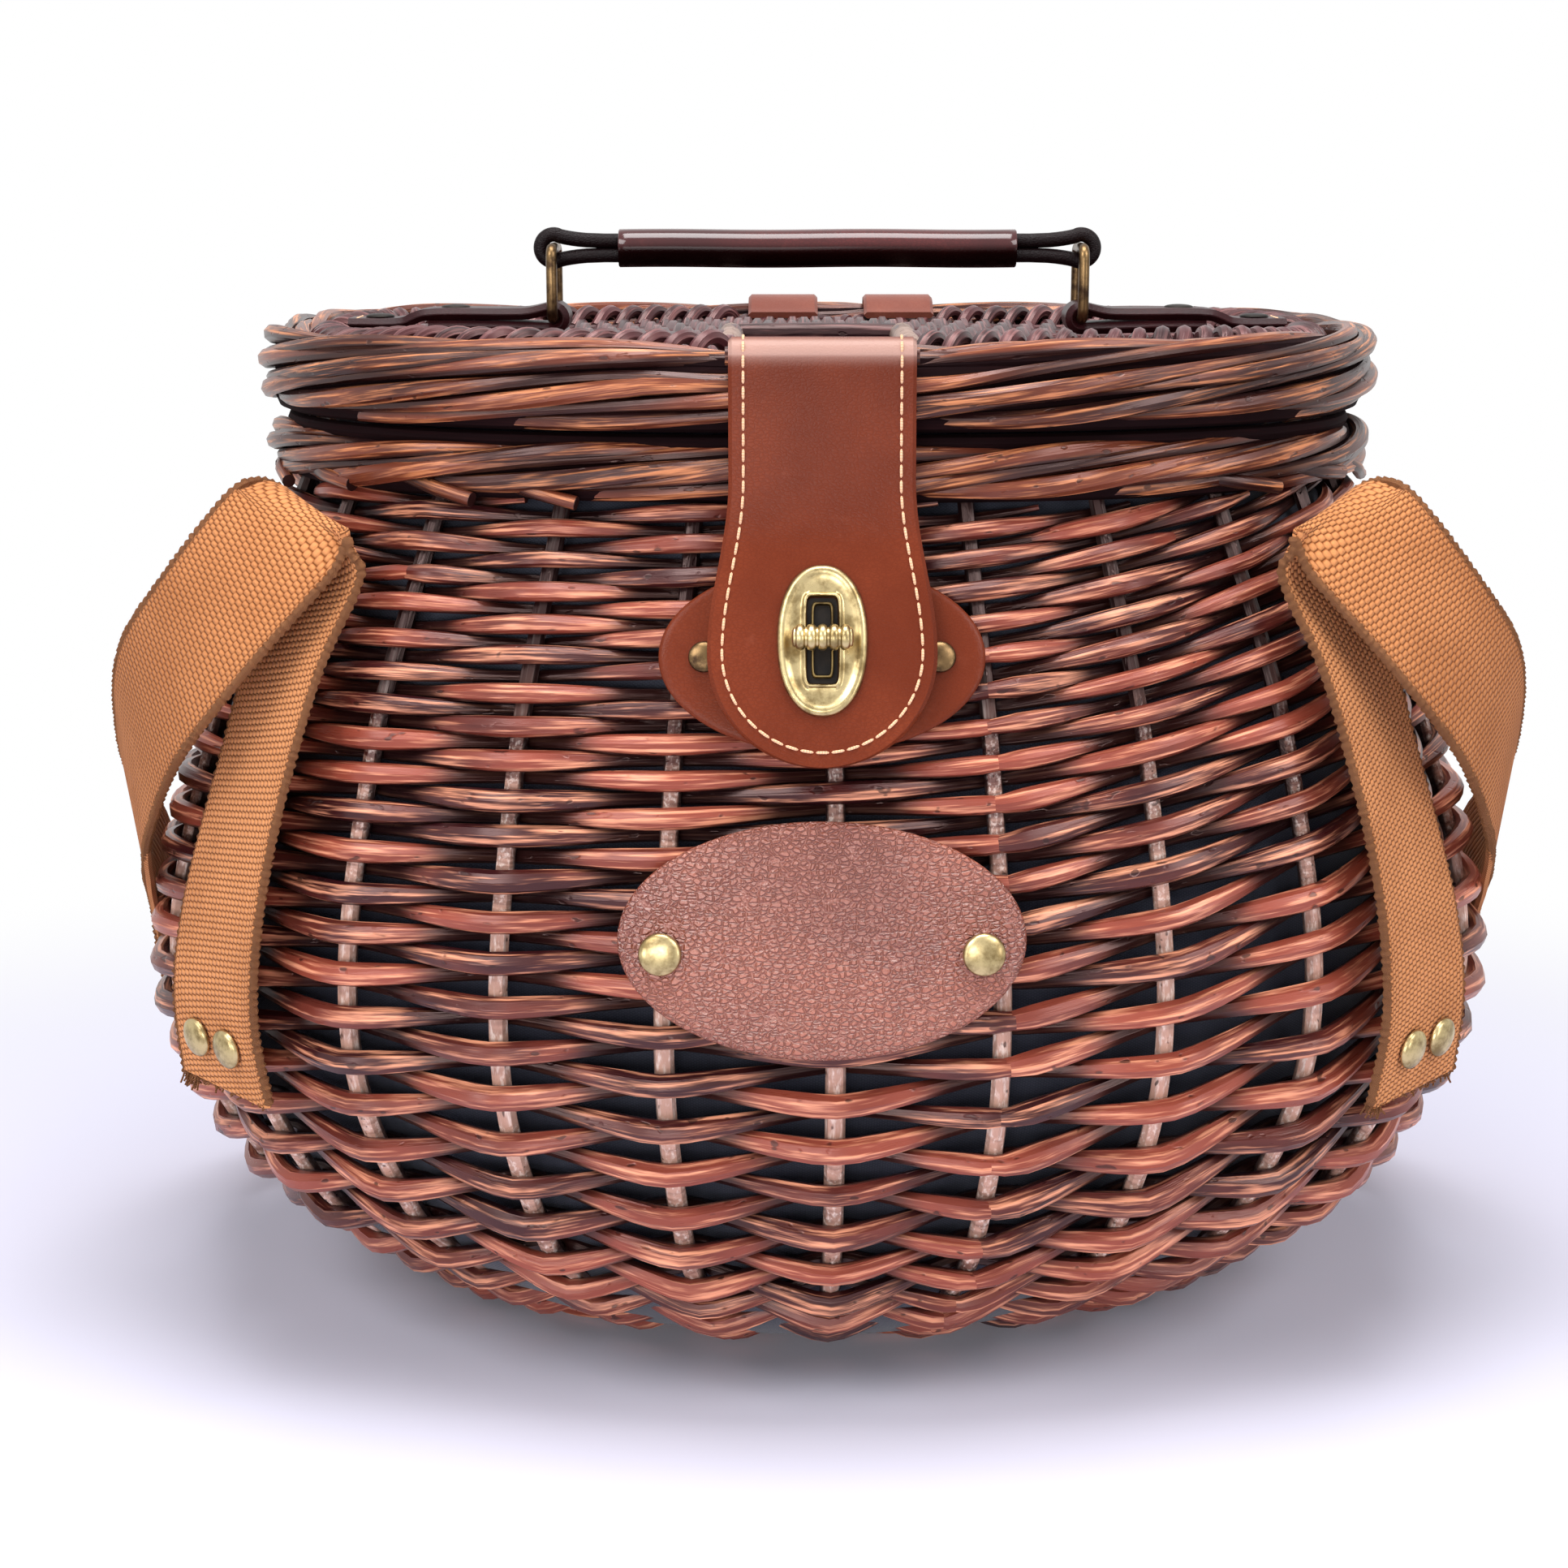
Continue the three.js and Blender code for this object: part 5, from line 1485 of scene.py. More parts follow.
@dataclass
class Lid:
    """The lid: rolled border, woven panel, framed hole and leather hinge loops."""

    form: BasketForm
    finishes: Finishes
    plan: Plan = (152.5, 110.5, 95.5, 2.4)
    border_width: float = 15.0
    low: float = 256.3
    high: float = 279.7
    panel_low: float = 268.7
    panel_high: float = 275.7
    hole_half_x: float = 21.0
    hole_half_y: float = 28.0
    hole_y: float = -14.0
    hole_rod: float = 6.0
    front_rod: float = 2.2
    rods: int = 20
    stick_pitch: float = 21.5
    stick: float = 1.9
    first_stick: float = -84.0
    last_stick: float = 80.0
    weaver: float = 1.86
    weaver_pitch: float = 3.45
    weaver_throw: float = 1.75
    panel_half: float = 134.5
    wraps: int = 112
    binding_turns: int = 22
    hinge_shift: float = 8.0
    hinge_centre: float = 17.5
    hinge_width: float = 21.0
    tongue: float = 22.0
    swell: float = 2.4

    def __post_init__(self) -> None:
        """Works out the panel's plan and middle height."""
        self.inner = (*(v - self.border_width for v in self.plan[:3]), self.plan[3])
        self.middle = (self.panel_low + self.panel_high) / 2

    def dome(self, x: Values, y: Values) -> Array:
        """How far the middle of the panel swells up."""
        return self.swell * np.clip(1 - np.square(x / 62), 0, None) * np.clip(1 - np.square(y / 88), 0, None)

    def border(self) -> Draft:
        """The rolled border, with the front rod that the closure strap hangs on."""
        reach = 23.0
        flap_room = Keepout((-reach, reach), FLAP_ROD, 5.3, (0.6, -0.8))
        hinge_room = Keepout(HINGE_SPAN, HINGE_ROD, HINGE_ROOM, (-0.8, 0.6))
        ring = RolledBorder(self.form, self.plan, self.border_width, self.low + 1.4, self.high, self.rods,
                            0.6, 2.2, SEED + 2, (flap_room, hinge_room))
        draft = ring.draw()
        ring.core().settle("lid_core", self.finishes.shade, Body.LID, Slot.WILLOW, "lid_border")
        back = self.plan[2] - HIDE - 0.4
        for part in draft.points:
            near = (part[:, 0] > HINGE_SPAN[0] - 1) & (part[:, 0] < HINGE_SPAN[1] + 1) & (part[:, 1] > back)
            part[near, 1] = back
        draft.tube(rows(np.linspace(-reach - 0.4, reach + 0.4, 16), *FLAP_ROD), self.front_rod, 12, tint=0.3)
        return draft

    def panel_edge(self, x: Array) -> tuple[Array, Array]:
        """Finds where the panel ends.

        Args:
            x: Places across the lid.

        Returns:
            The y of its front and of its back there.
        """
        wide, front, back, bend = self.inner
        share = np.minimum(np.abs(x) / wide, 0.995)
        return (-front * (1 - share ** bend) ** (1 / bend),
                back * (1 - share ** self.form.back_round) ** (1 / self.form.back_round))

    def panel(self) -> Draft:
        """The woven panel: sticks from side to side, weavers from front to back."""
        rng = np.random.default_rng(SEED + 3)
        draft = Draft()
        edge_x = self.hole_half_x + self.hole_rod / 2
        top, bottom = self.hole_y + self.hole_half_y + 3, self.hole_y - self.hole_half_y - 3
        across = np.linspace(0, self.inner[0], 138)
        front, back = self.panel_edge(across)
        for y in np.arange(self.first_stick, self.last_stick, self.stick_pitch):
            end = float(across[(front < y) & (y < back)].max()) + 3
            spans = [(-end, -edge_x), (edge_x, end)] if bottom < y < top else [(-end, end)]
            for a, b in spans:
                x = np.linspace(a, b, 40)
                line = rows(x, y, self.middle + self.dome(x, y))
                # Painted shade: a cover of 0.2 sets the sticks a little darker, where they lie under the
                # weavers.
                draft.tube(line, self.stick, 8, tint=rng.uniform(0, 1), cover=0.2, start=rng.uniform(0, 2))
        end = self.panel_half + self.weaver_pitch / 2
        for n, x in enumerate(np.arange(-self.panel_half, end, self.weaver_pitch)):
            low, high = (float(v) for v in self.panel_edge(x))
            spans = [(low - 3, bottom), (top, high + 3)] if abs(x) < edge_x else [(low - 3, high + 3)]
            for a, b in spans:
                if b - a < 6:
                    continue
                y = np.linspace(a, b, max(int((b - a) / 3.2), 4))
                wave = np.cos(math.pi * ((y - self.first_stick) / self.stick_pitch + n))
                lean = x * (1 - 0.05 * (y - a) / 100)
                height = self.middle + self.weaver_throw * wave + rng.normal(0, 0.1) + self.dome(lean, y)
                # Painted shade: the weavers are darker where they dip under the sticks and on their
                # undersides.
                draft.tube(rows(lean, y, height), self.weaver * rng.uniform(0.92, 1.06), 7, UP,
                           rng.uniform(0, 1), wave, start=rng.uniform(0, 3), stain=0.6)
        self.edge_wraps(draft, rng)
        return draft

    def edge_wraps(self, draft: Draft, rng: np.random.Generator) -> None:
        """Adds slanting turns of the weavers round the panel's outer stick, along the border.

        Args:
            draft: The panel's draft.
            rng: Its random source.
        """
        slant = 0.0055 * np.array([1, 0.5, 0, -0.5, -1])
        inset = np.array([-11.0, -8.0, -4.2, -1.2, 0.8])[:, None]
        hump = self.panel_high + np.array([-2.4, 0.9, 2.0, 0.9, -2.6])
        for k in range(self.wraps):
            flat, out = self.form.edge(self.inner, k / self.wraps + slant)
            rise = hump
            x, y = flat[2]
            if y < 0 and abs(x) > 27:
                rise = rise + 2.0 * (1 - smooth(abs(x), 100, 130))
            if abs(x) < 27 and y < 0 or abs(y) < 10 or abs(x - self.hinge_shift) < 30 and y > 0:
                rise = rise - 2.8
            line = spline(np.column_stack([flat + out * inset, rise]), 3)
            draft.tube(line, self.stick * rng.uniform(0.9, 1.1), 8, tint=rng.uniform(0, 1),
                       start=rng.uniform(0, 3))

    def hole_frame(self) -> Draft:
        """Rods round the hole, the side ones bound with pale strips."""
        bound, plain = Draft(), Draft()
        x, y = self.hole_half_x + self.hole_rod / 2, self.hole_half_y + self.hole_rod / 2
        coil = 2.8
        t = np.linspace(0, self.binding_turns * TURN, self.binding_turns * 12)
        c, s = np.cos(t), np.sin(t)
        for sign in (-1, 1):
            run = np.linspace(-y - 2.5, y + 2.5, 20) + self.hole_y
            bound.tube(rows(sign * x, run, self.middle + self.dome(x, run)), 2.3, 10, tint=0.1)
            run, at = np.linspace(-x, x, 20), sign * y + self.hole_y
            plain.tube(rows(run, at, self.middle + self.dome(run, at)), 2.9, 10, tint=0.3 - 0.2 * sign)
            run = self.hole_y - y + 2 + (2 * y - 4) * t / t[-1]
            path = rows(sign * x + coil * c, run, self.middle + coil * s + self.dome(x, run))
            bound.tube(path, 1.25, 6, rows(c, 0, s), 0.8, flat=0.55, stain=0.5)
        plain.settle("hole_rods", self.finishes.panel, Body.LID, Slot.PALE_WILLOW, "hole_frame")
        return bound

    def hinge_loop(self, side: Side) -> None:
        """One stitched leather loop round the rear rod.

        Args:
            side: The side that it is on.
        """
        x = self.hinge_shift + side.value * self.hinge_centre
        half = HIDE / 2
        eye = 3 + 0.35 + half
        lift = SEAT + half
        rise = self.plan[2] - HIDE + lift
        crest = self.high + lift
        bend = lift + half
        tongue = [vec(x, rise - share * self.tongue, crest - drop)
                  for share, drop in ((1, 4.4), (0.86, 3.3), (0.7, 1.4), (0.5, 0.1))]
        path = np.vstack([
            *tongue,
            arc(vec(x, rise - bend, crest - bend), bend, math.pi / 2, 0, 5, BACK, UP),
            vec(x, rise + SEAT, (self.low + self.high) / 2),
            arc(vec(x, *HINGE_ROD), eye, 0.7, -3.9, 20, BACK, UP),
        ])
        line = even(spline(path, 4), 90)
        draft = Draft()
        draft.strap(line, RIGHT, self.hinge_width / 2, HIDE, 6)
        draft.settle(f"hinge_leather_{side.word}", self.finishes.hinge, Body.LID, Slot.LEATHER,
                     f"hinge_loop_{side.word}")
        seam = Stitching(self.finishes.thread)
        face = np.cross(tangents(line), RIGHT)
        seen = slice(2, 46)
        for edge in (-1, 1):
            inset = vec(edge * (self.hinge_width / 2 - 2.2), 0, 0)
            seam.row(line[seen] + face[seen] * half + inset, face[seen], 2.6)
        seam.settle(f"hinge_thread_{side.word}", Body.LID)

    def build(self) -> None:
        """Makes and settles the lid."""
        kit = self.finishes
        self.border().settle("lid_rods", kit.border, Body.LID, Slot.WILLOW, "lid_border")
        self.panel().settle("lid_panel_weave", kit.panel, Body.LID, Slot.WILLOW, "lid_panel")
        self.hole_frame().settle("hole_binding", kit.wrap, Body.LID, Slot.PALE_WILLOW, "hole_frame")
        for side in Side:
            self.hinge_loop(side)


class Stitching:
    """Rows of short sewn stitches."""

    def __init__(self, finish: Finish, size: float = 0.36) -> None:
        """Takes the thread's finish and radius."""
        self.finish, self.size, self.draft = finish, size, Draft()

    def row(self, path: Array, faces: Array, pitch: float) -> None:
        """Sews along a path.

        Args:
            path: The seam on the leather's surface.
            faces: Outward directions along it.
            pitch: Distance from stitch to stitch.
        """
        run = lengths(path)
        count = max(int(run[-1] / pitch), 1)
        lift = np.array([-0.25, 0.12, 0.24, 0.24, 0.12, -0.25])[:, None]
        taper = self.size * np.array([0.7, 1, 1, 1, 1, 0.7])
        for i in range(count):
            at = (np.linspace(0.1, 0.9, 6) + i) * run[-1] / count
            out = unit(sample(faces, run, at))
            self.draft.tube(sample(path, run, at) + out * lift, taper, 6, out)

    def settle(self, name: str, body: Body) -> None:
        """Makes and settles the sewn thread as one piece."""
        self.draft.settle(name, self.finish, body, Slot.LEATHER)


@dataclass
class Rivets:
    """Domed brass rivets."""

    finishes: Finishes

    def add(self, node: str, seat: Array, axis: Array, radius: float, dome: float, body: Body,
            finish: Finish | None = None) -> None:
        """Makes and settles one rivet.

        Args:
            node: The CAD node that it stands for.
            seat: Middle of the head's underside.
            axis: Outward direction.
            radius: Radius of the head.
            dome: Height of the head.
            body: The body it moves with.
            finish: Its material where it isn't the bright brass worn by rubbing.
        """
        turn = np.linspace(0, math.pi / 2, 10)
        crown = rows(radius * np.cos(turn) * 0.985, dome * (0.3 + 0.7 * np.sin(turn)))
        crown[-1, 0] = 0.02
        foot = np.array([(0.02, -2.2), (1.4, -2.2), (1.4, 0), (radius * 0.96, 0), (radius, 0.12),
                         (radius, dome * 0.22)])
        draft = Draft()
        draft.lathe(np.vstack([foot, crown]), 36, seat, axis)
        draft.settle(f"brass_{node}", finish or self.finishes.bright_brass, body, Slot.BRASS, node, crease=50)


@dataclass(frozen=True)
class Seat:
    """A place on the front with its upward direction, for fittings that lie on it."""

    spot: Array
    up: Array

    def oval(self, half_x: float, half_up: float, lift: float, power: float, sides: int) -> Array:
        """One ring on the seat, from oval to nearly square.

        Args:
            half_x: Half its width.
            half_up: Half its height.
            lift: How far it stands out.
            power: 2 for an oval, more for a squarer ring.
            sides: Points round it.

        Returns:
            The ring's points.
        """
        turn = np.linspace(0, TURN, sides, endpoint=False)
        x = half_x * signed(np.cos(turn), 2 / power)
        y = half_up * signed(np.sin(turn), 2 / power)
        return self.spot + x[:, None] * RIGHT + y[:, None] * self.up + lift * np.cross(RIGHT, self.up)

    def loft(self, rings: tuple[Plan, ...], sides: int = 72, capped: bool = False) -> Draft:
        """Joins rings on the seat.

        Args:
            rings: The sizes of each ring, as oval takes them.
            sides: Points round each ring.
            capped: True to close both ends.

        Returns:
            A new draft.
        """
        draft = Draft()
        draft.loft(np.stack([self.oval(*ring, sides) for ring in rings]), capped)
        return draft


@dataclass
class Closure:
    """The closure strap with its turn-lock, the leather patch behind it and the label."""

    form: BasketForm
    finishes: Finishes
    rivets: Rivets
    thick: float = 2.2
    eye: float = 3.5
    top_half: float = 22.6
    end_half: float = 27.7
    end_height: float = 180.0
    standoff: float = 6.2
    hang: float = 16.0
    bend_height: float = 234.0
    lock_height: float = 209.0
    bar_lift: float = 5.9
    bar_half: float = 7.5
    bar_radius: float = 2.5
    seam_inset: float = 3.6
    plate_rings: tuple[Plan, ...] = (
        (10.9, 18.4, 0.3, 2.2), (10.9, 18.4, 0.8, 2.2), (10.6, 18.1, 1.4, 2.2), (10, 17.5, 1.85, 2.2),
        (9.2, 16.7, 1.9, 2.2), (8.7, 16.2, 1.55, 2.2), (7.6, 15, 1.3, 2.3), (6.4, 13.6, 1.25, 3),
        (5.5, 12.4, 1.25, 5), (4.9, 11.6, 1.35, 8), (4.5, 11.3, 2.15, 9), (4.2, 11, 2.3, 9),
        (3.9, 10.7, 2.1, 9), (3.8, 10.6, -0.6, 9))
    boss_rings: tuple[Plan, ...] = (
        (2.7, 9.2, -2.4, 8), (2.7, 9.2, 1.9, 8), (2.5, 9, 2.3, 8), (2.2, 8.7, 2.3, 8), (2, 8.5, 2, 8),
        (2, 8.5, -0.4, 8))
    well_rings: tuple[Plan, ...] = ((3.75, 10.5, 0.2, 9), (3.7, 10.4, 0.45, 9), (0.1, 0.4, 0.45, 3))
    keeper_rings: tuple[Plan, ...] = (
        (6, 13, 2.7, 9), (6, 13, 3.6, 9), (5.7, 12.7, 3.9, 9), (3, 8.4, 3.9, 8), (2.8, 8.2, 3.7, 8),
        (2.8, 8.2, 2.7, 8))

    def __post_init__(self) -> None:
        """Works out the strap's middle line and the lock's place."""
        self.loop = arc(vec(0, *FLAP_ROD), self.eye, -0.9, math.pi, 26, BACK, UP)
        bend, tip = (self.form.front_seat(0, z)[0] for z in (self.bend_height, self.end_height))
        taut = bend + (tip - bend) * np.linspace(0, 1, 21)[:, None]
        bulge = float(np.max(taut[:, 1] - self.form.face(np.zeros(21), taut[:, 2])[:, 1]))
        clear = vec(0, -(bulge + self.standoff), 0)
        top = vec(0, FLAP_ROD[0] - self.eye, FLAP_ROD[1])
        knots = np.vstack([top, top - vec(0, 0, self.hang), taut[::5] + clear])
        self.hung = even(spline(knots, 12), 400)
        at = int(np.argmin(np.abs(self.hung[:, 2] - self.lock_height)))
        up = -tangents(self.hung)[at]
        self.lock_seat = Seat(self.hung[at] + np.cross(RIGHT, up) * self.thick / 2, up)
        self.run = lengths(self.hung)
        self.straight = self.run[-1] - self.end_half

    def halves(self) -> tuple[Array, Array]:
        """Places down the strap and its half width there, with a round lower end."""
        length = self.run[-1]
        tip = self.straight + self.end_half * np.sin(np.linspace(0, math.pi / 2, 26)[1:])
        tip[-1] -= 0.05
        at = np.concatenate([np.linspace(0, self.straight, 60), tip])
        half = self.top_half + (self.end_half - self.top_half) * smooth(at, length * 0.3, length * 0.72)
        into = np.clip(at - self.straight, 0, None)
        return at, np.where(into > 0, np.sqrt(np.maximum(self.end_half ** 2 - into ** 2, 1.0)), half)

    def strap(self) -> None:
        """The leather strap, with a painted highlight where it bends over the rod."""
        at, half = self.halves()
        path = np.vstack([self.loop[:-1], sample(self.hung, self.run, at)])
        half = np.concatenate([np.full(len(self.loop) - 1, self.top_half), half])
        # Painted highlight along the top of the bend, passed to the material as the tint.
        bent = smooth(np.linspace(-0.9, math.pi, 27)[:-1], 0.45 * math.pi, 0.75 * math.pi)
        rubbed = 0.5 + 0.27 * np.concatenate([bent, 1 - smooth(at, -3, 4)])
        draft = Draft()
        draft.strap(path, RIGHT, half, self.thick, 12, rounding=0.4, tint=rubbed)
        draft.settle("closure_leather", self.finishes.flap, Body.FLAP, Slot.LEATHER, "closure_flap")

    def seam(self) -> None:
        """The thread along the strap's edge."""
        at, half = self.halves()
        face = np.cross(tangents(sample(self.hung, self.run, at)), RIGHT)
        face = face * np.sign(-face[:, 1:2])
        down = np.linspace(4, self.straight, 60)
        wide = np.interp(down, at, half) - self.seam_inset
        turn = np.linspace(math.pi / 2, -math.pi / 2, 40)[1:-1]
        radius = self.end_half - self.seam_inset
        down = np.concatenate([down, self.straight + radius * np.cos(turn), down[::-1]])
        path = sample(self.hung, self.run, down)
        path[:, 0] = np.concatenate([wide, radius * np.sin(turn), -wide[::-1]])
        over = arc(vec(0, *FLAP_ROD), self.eye, 0.42 * math.pi, math.pi, 12, BACK, UP)
        over_face = unit(over - vec(0, *FLAP_ROD))
        over = over + vec(self.top_half - self.seam_inset, 0, 0)
        path = np.vstack([over, path, (over * vec(-1, 1, 1))[::-1]])
        face = np.vstack([over_face, unit(sample(face, at, down)), over_face[::-1]])
        thread = Stitching(self.finishes.thread, 0.38)
        thread.row(path + face * self.thick / 2, face, 3.7)
        thread.settle("closure_thread", Body.FLAP)

    def turn_bar(self) -> Draft:
        """The ridged bar on its stem."""
        share = np.linspace(0, 1, 49)
        ridges = [np.sqrt(np.clip(1 - ((share - at) / 0.14) ** 2, 0, 1)) for at in (0.0, 0.36, 0.72)]
        cap = np.sqrt(np.clip(1 - (np.clip(share - 0.9, 0, 1) / 0.1) ** 2, 0, 1))
        radius = np.maximum((self.bar_radius + 0.7 * np.max(ridges, axis=0)) * cap, 0.02)
        right = rows(radius, share * self.bar_half)
        seat, bar = self.lock_seat, Draft()
        bar.lathe(np.vstack([(right * [1, -1])[::-1], right[1:]]), 28,
                  seat.spot + self.bar_lift * np.cross(RIGHT, seat.up), RIGHT)
        stem = ((1.5, 0.4), (1.5, 3.0), (1.9, 3.6), (1.9, self.bar_lift))
        bar.loft(np.stack([seat.oval(a, a, lift, 3.4, 24) for a, lift in stem]))
        return bar

    def lock(self) -> None:
        """The plate, the raised frame in its slot, the turn-bar and the keeper behind them."""
        rise = self.form.face(np.zeros(2), self.lock_height + np.array([-4.0, 4.0]))
        wall = Seat(self.form.front_seat(0, self.lock_height)[0], unit(rise[1] - rise[0]))
        kit, strap = self.finishes, self.lock_seat
        well, keeper = strap.loft(self.well_rings, capped=True), wall.loft(self.keeper_rings, 48)
        for name, node, finish, crease, body, draft in (
                ("lock_oval", "lock_plate", kit.bright_brass, 60, Body.FLAP, strap.loft(self.plate_rings)),
                ("lock_frame", "lock_boss", kit.brass, 50, Body.FLAP, strap.loft(self.boss_rings)),
                ("lock_well", "lock_boss", kit.recess, 50, Body.FLAP, well),
                ("lock_turn_bar", "lock_toggle", kit.bright_brass, 35, Body.TOGGLE, self.turn_bar()),
                ("keeper_plate", "lock_keeper", kit.brass, 50, Body.BASKET, keeper)):
            draft.settle(name, finish, body, Slot.BRASS, node, crease=crease)

    def patch(self, name: str, node: str, width: float, length: float, height: float, finish: Finish) -> None:
        """An oval leather patch that follows the wall.

        Args:
            name: The piece's name.
            node: The CAD node that it stands for.
            width: Width of the oval.
            length: Its height along the wall.
            height: Height of its middle.
            finish: Its material.
        """
        turn = np.linspace(0, TURN, 96, endpoint=False)
        rings = []
        for share, lift in ((0.02, 0), (0.3, 0), (0.6, 0), (0.85, 0), (0.985, 0), (1, 0.35), (1, 1.3),
                            (0.99, 1.8), (0.97, 2.02), (0.94, 2.08), (0.85, 2.02), (0.6, 2), (0.3, 2),
                            (0.02, 2)):
            x = share * width * np.cos(turn) / 2
            z = height + share * length * np.sin(turn) / 2
            rings.append(self.form.face(x, z) + self.form.face_normal(x, z) * (SEAT + lift))
        draft = Draft()
        draft.loft(np.stack(rings))
        draft.settle(name, finish, Body.BASKET, Slot.LEATHER, node, crease=55)

    def build(self) -> None:
        """Makes and settles the closure and the label."""
        self.strap()
        self.seam()
        self.lock()
        low = self.lock_height - 5
        self.patch("lock_patch", "lock_backing", 79, 44, low, self.finishes.flap)
        self.patch("label_oval", "label_patch", 99, 58, 137, self.finishes.label)
        for side in Side:
            for word, x, z, size, finish in (("backing", 28.4, low, 3.8, self.finishes.wire),
                                             ("label", 39.0, 134.0, 5.3, None)):
                spot, axis = self.form.front_seat(side.value * x, z)
                self.rivets.add(f"{word}_rivet_{side.word}", spot + axis * (HIDE + 2 * SEAT), axis, size,
                                size * 0.45, Body.BASKET, finish)


@dataclass
class Handle:
    """The carry handle: leather tabs, wire rings, a looped cord and a leather sleeve."""

    finishes: Finishes
    rivets: Rivets
    ring_centre: float = 72.6
    ring_width: float = 20.0
    ring_rise: float = 18.8
    ring_corner: float = 2.6
    wire: float = 1.5
    tab_width: float = 15.0
    tab_reach: float = 129.0
    tab_single: float = 22.0
    rivet_insets: Pair = (29.0, 8.0)
    panel_top: float = 275.7
    turn_gap: float = 0.35
    cord: float = 1.8
    strand: float = 2.0
    throat: float = 9.0
    grip_half: float = 54.7
    sleeve: float = 0.9

    def __post_init__(self) -> None:
        """Works out the heights."""
        self.layer = self.panel_top + SEAT + HIDE / 2
        self.eye = self.wire + self.turn_gap + HIDE / 2
        self.ring_z = self.layer + self.eye
        self.grip_z = self.ring_z + self.ring_rise

    def tab(self, side: Side) -> None:
        """One leather tab, looped round its ring and riveted twice.

        Args:
            side: The side that it is on.
        """
        sign = side.value
        fold = self.tab_reach - self.tab_single
        upper = self.layer + HIDE + SEAT

        def at(reach: float, z: float) -> Array:
            """A point over the lid's middle line."""
            return vec(sign * reach, 0, z)
        path = np.vstack([
            at(fold, self.layer + 0.6), at(fold - 12, self.layer + 0.6),
            arc(at(self.ring_centre, self.ring_z), self.eye, 1.5 * math.pi, 0.36 * math.pi, 16,
                sign * RIGHT, UP),
            at(self.ring_centre + 7, upper + 1.8), at(self.ring_centre + 12, upper + 1.6),
            at(fold + 1, upper + 1.4), at(fold + 4, self.layer + 2.8), at(fold + 7, self.layer + 1.5),
            at(self.tab_reach, self.layer + 1.2),
        ])
        draft = Draft()
        draft.strap(even(spline(path, 5), 130), sign * BACK, self.tab_width / 2, HIDE + 1.2, 8)
        draft.settle(f"tab_leather_{side.word}", self.finishes.tab, Body.LID, Slot.LEATHER,
                     f"handle_tab_{side.word}")
        for i, inset in enumerate(self.rivet_insets, 1):
            reach = self.tab_reach - inset
            layer = upper + 1.8 if reach < fold else self.layer + 1.6
            self.rivets.add(f"tab_rivet_{side.word}_{i}", at(reach, layer + HIDE / 2 + SEAT), UP, 4.0, 1.0,
                            Body.LID, self.finishes.recess)
        seam = Stitching(self.finishes.thread, 0.32)
        across = rows(sign * (self.tab_reach - 2.4), np.linspace(-6, 6, 20), self.layer + HIDE / 2 + 1.55)
        seam.row(across, np.tile(UP, (20, 1)), 2.4)
        seam.settle(f"tab_thread_{side.word}", Body.LID)

    def ring(self, side: Side) -> None:
        """One rectangular wire ring.

        Args:
            side: The side that it is on.
        """
        x, half, c = side.value * self.ring_centre, self.ring_width / 2, self.ring_corner
        corners = ((half - c, self.grip_z - c), (-half + c, self.grip_z - c),
                   (-half + c, self.ring_z + c), (half - c, self.ring_z + c))
        path = np.vstack([arc(vec(x, *at), c, i / 2 * math.pi, (i / 2 + 0.5) * math.pi, 6, BACK, UP)
                          for i, at in enumerate(corners)])
        draft = Draft()
        draft.tube(path, self.wire, 14, RIGHT, closed=True)
        body = Body.LEFT_RING if side is Side.LEFT else Body.RIGHT_RING
        draft.settle(f"wire_ring_{side.word}", self.finishes.wire, body, Slot.BRASS, f"ring_{side.word}")

    def loop(self) -> None:
        """The dark cord that joins both rings through the sleeve."""
        eye = self.wire + self.turn_gap + self.cord
        strand = self.cord + SEAT
        neck = self.ring_centre - self.throat
        knots = []
        for sign in (1, -1):
            knots.append(vec(sign * neck, 0, self.grip_z - sign * strand))
            knots.append(arc(vec(sign * self.ring_centre, 0, self.grip_z), eye, -2.1, 2.1, 12, sign * RIGHT,
                             sign * UP))
            knots += [vec(sign * neck * share, 0, self.grip_z + sign * strand) for share in (1, 0.6, 0, -0.6)]
        draft = Draft()
        draft.tube(spline(np.vstack(knots), 4, closed=True), self.strand, 12, BACK, closed=True)
        draft.settle("grip_cord", self.finishes.cord, Body.GRIP, Slot.CORD, "handle_cord")

    def cover(self) -> None:
        """The leather sleeve, sewn shut along its underside."""
        bore = 2 * self.cord + 2 * SEAT
        skin, half = bore + self.sleeve, self.grip_half
        turn = np.linspace(0, TURN, 40, endpoint=False) - math.pi / 2
        keel = 1 + sum(0.035 * np.exp(-((turn - at * math.pi) / 0.25) ** 2) for at in (-0.5, 1.5))
        stations = [(-half, bore), (-half, skin - 0.25), (-half + 0.3, skin)]
        stations += [(x, skin) for x in np.linspace(-half + 3, half - 3, 28)]
        stations += [(half - 0.3, skin), (half, skin - 0.25), (half, bore)]
        stations += [(x, bore) for x in np.linspace(half - 3, -half + 3, 6)]
        y, z = keel * np.cos(turn), keel * np.sin(turn)
        rings = np.stack([rows(x, r * y, self.grip_z + r * z + 0.12 * np.sin(x / 9.0)) for x, r in stations])
        draft = Draft()
        run = np.append(lengths(rings[:, 0]), lengths(rings[:, 0])[-1] + 3) * MM
        # Painted shade: the sleeve's underside is blackened through the cover value.
        worn = np.broadcast_to(smooth(np.sin(turn), -0.35, 0.5), rings.shape[:2])
        draft.skin(rings, run, np.linspace(0, 0.032, 41), cover=worn, looped=True)
        draft.settle("grip_leather", self.finishes.grip, Body.GRIP, Slot.LEATHER, "grip_sleeve", crease=50)

    def build(self) -> None:
        """Makes and settles the handle."""
        for side in Side:
            self.tab(side)
            self.ring(side)
        self.loop()
        self.cover()


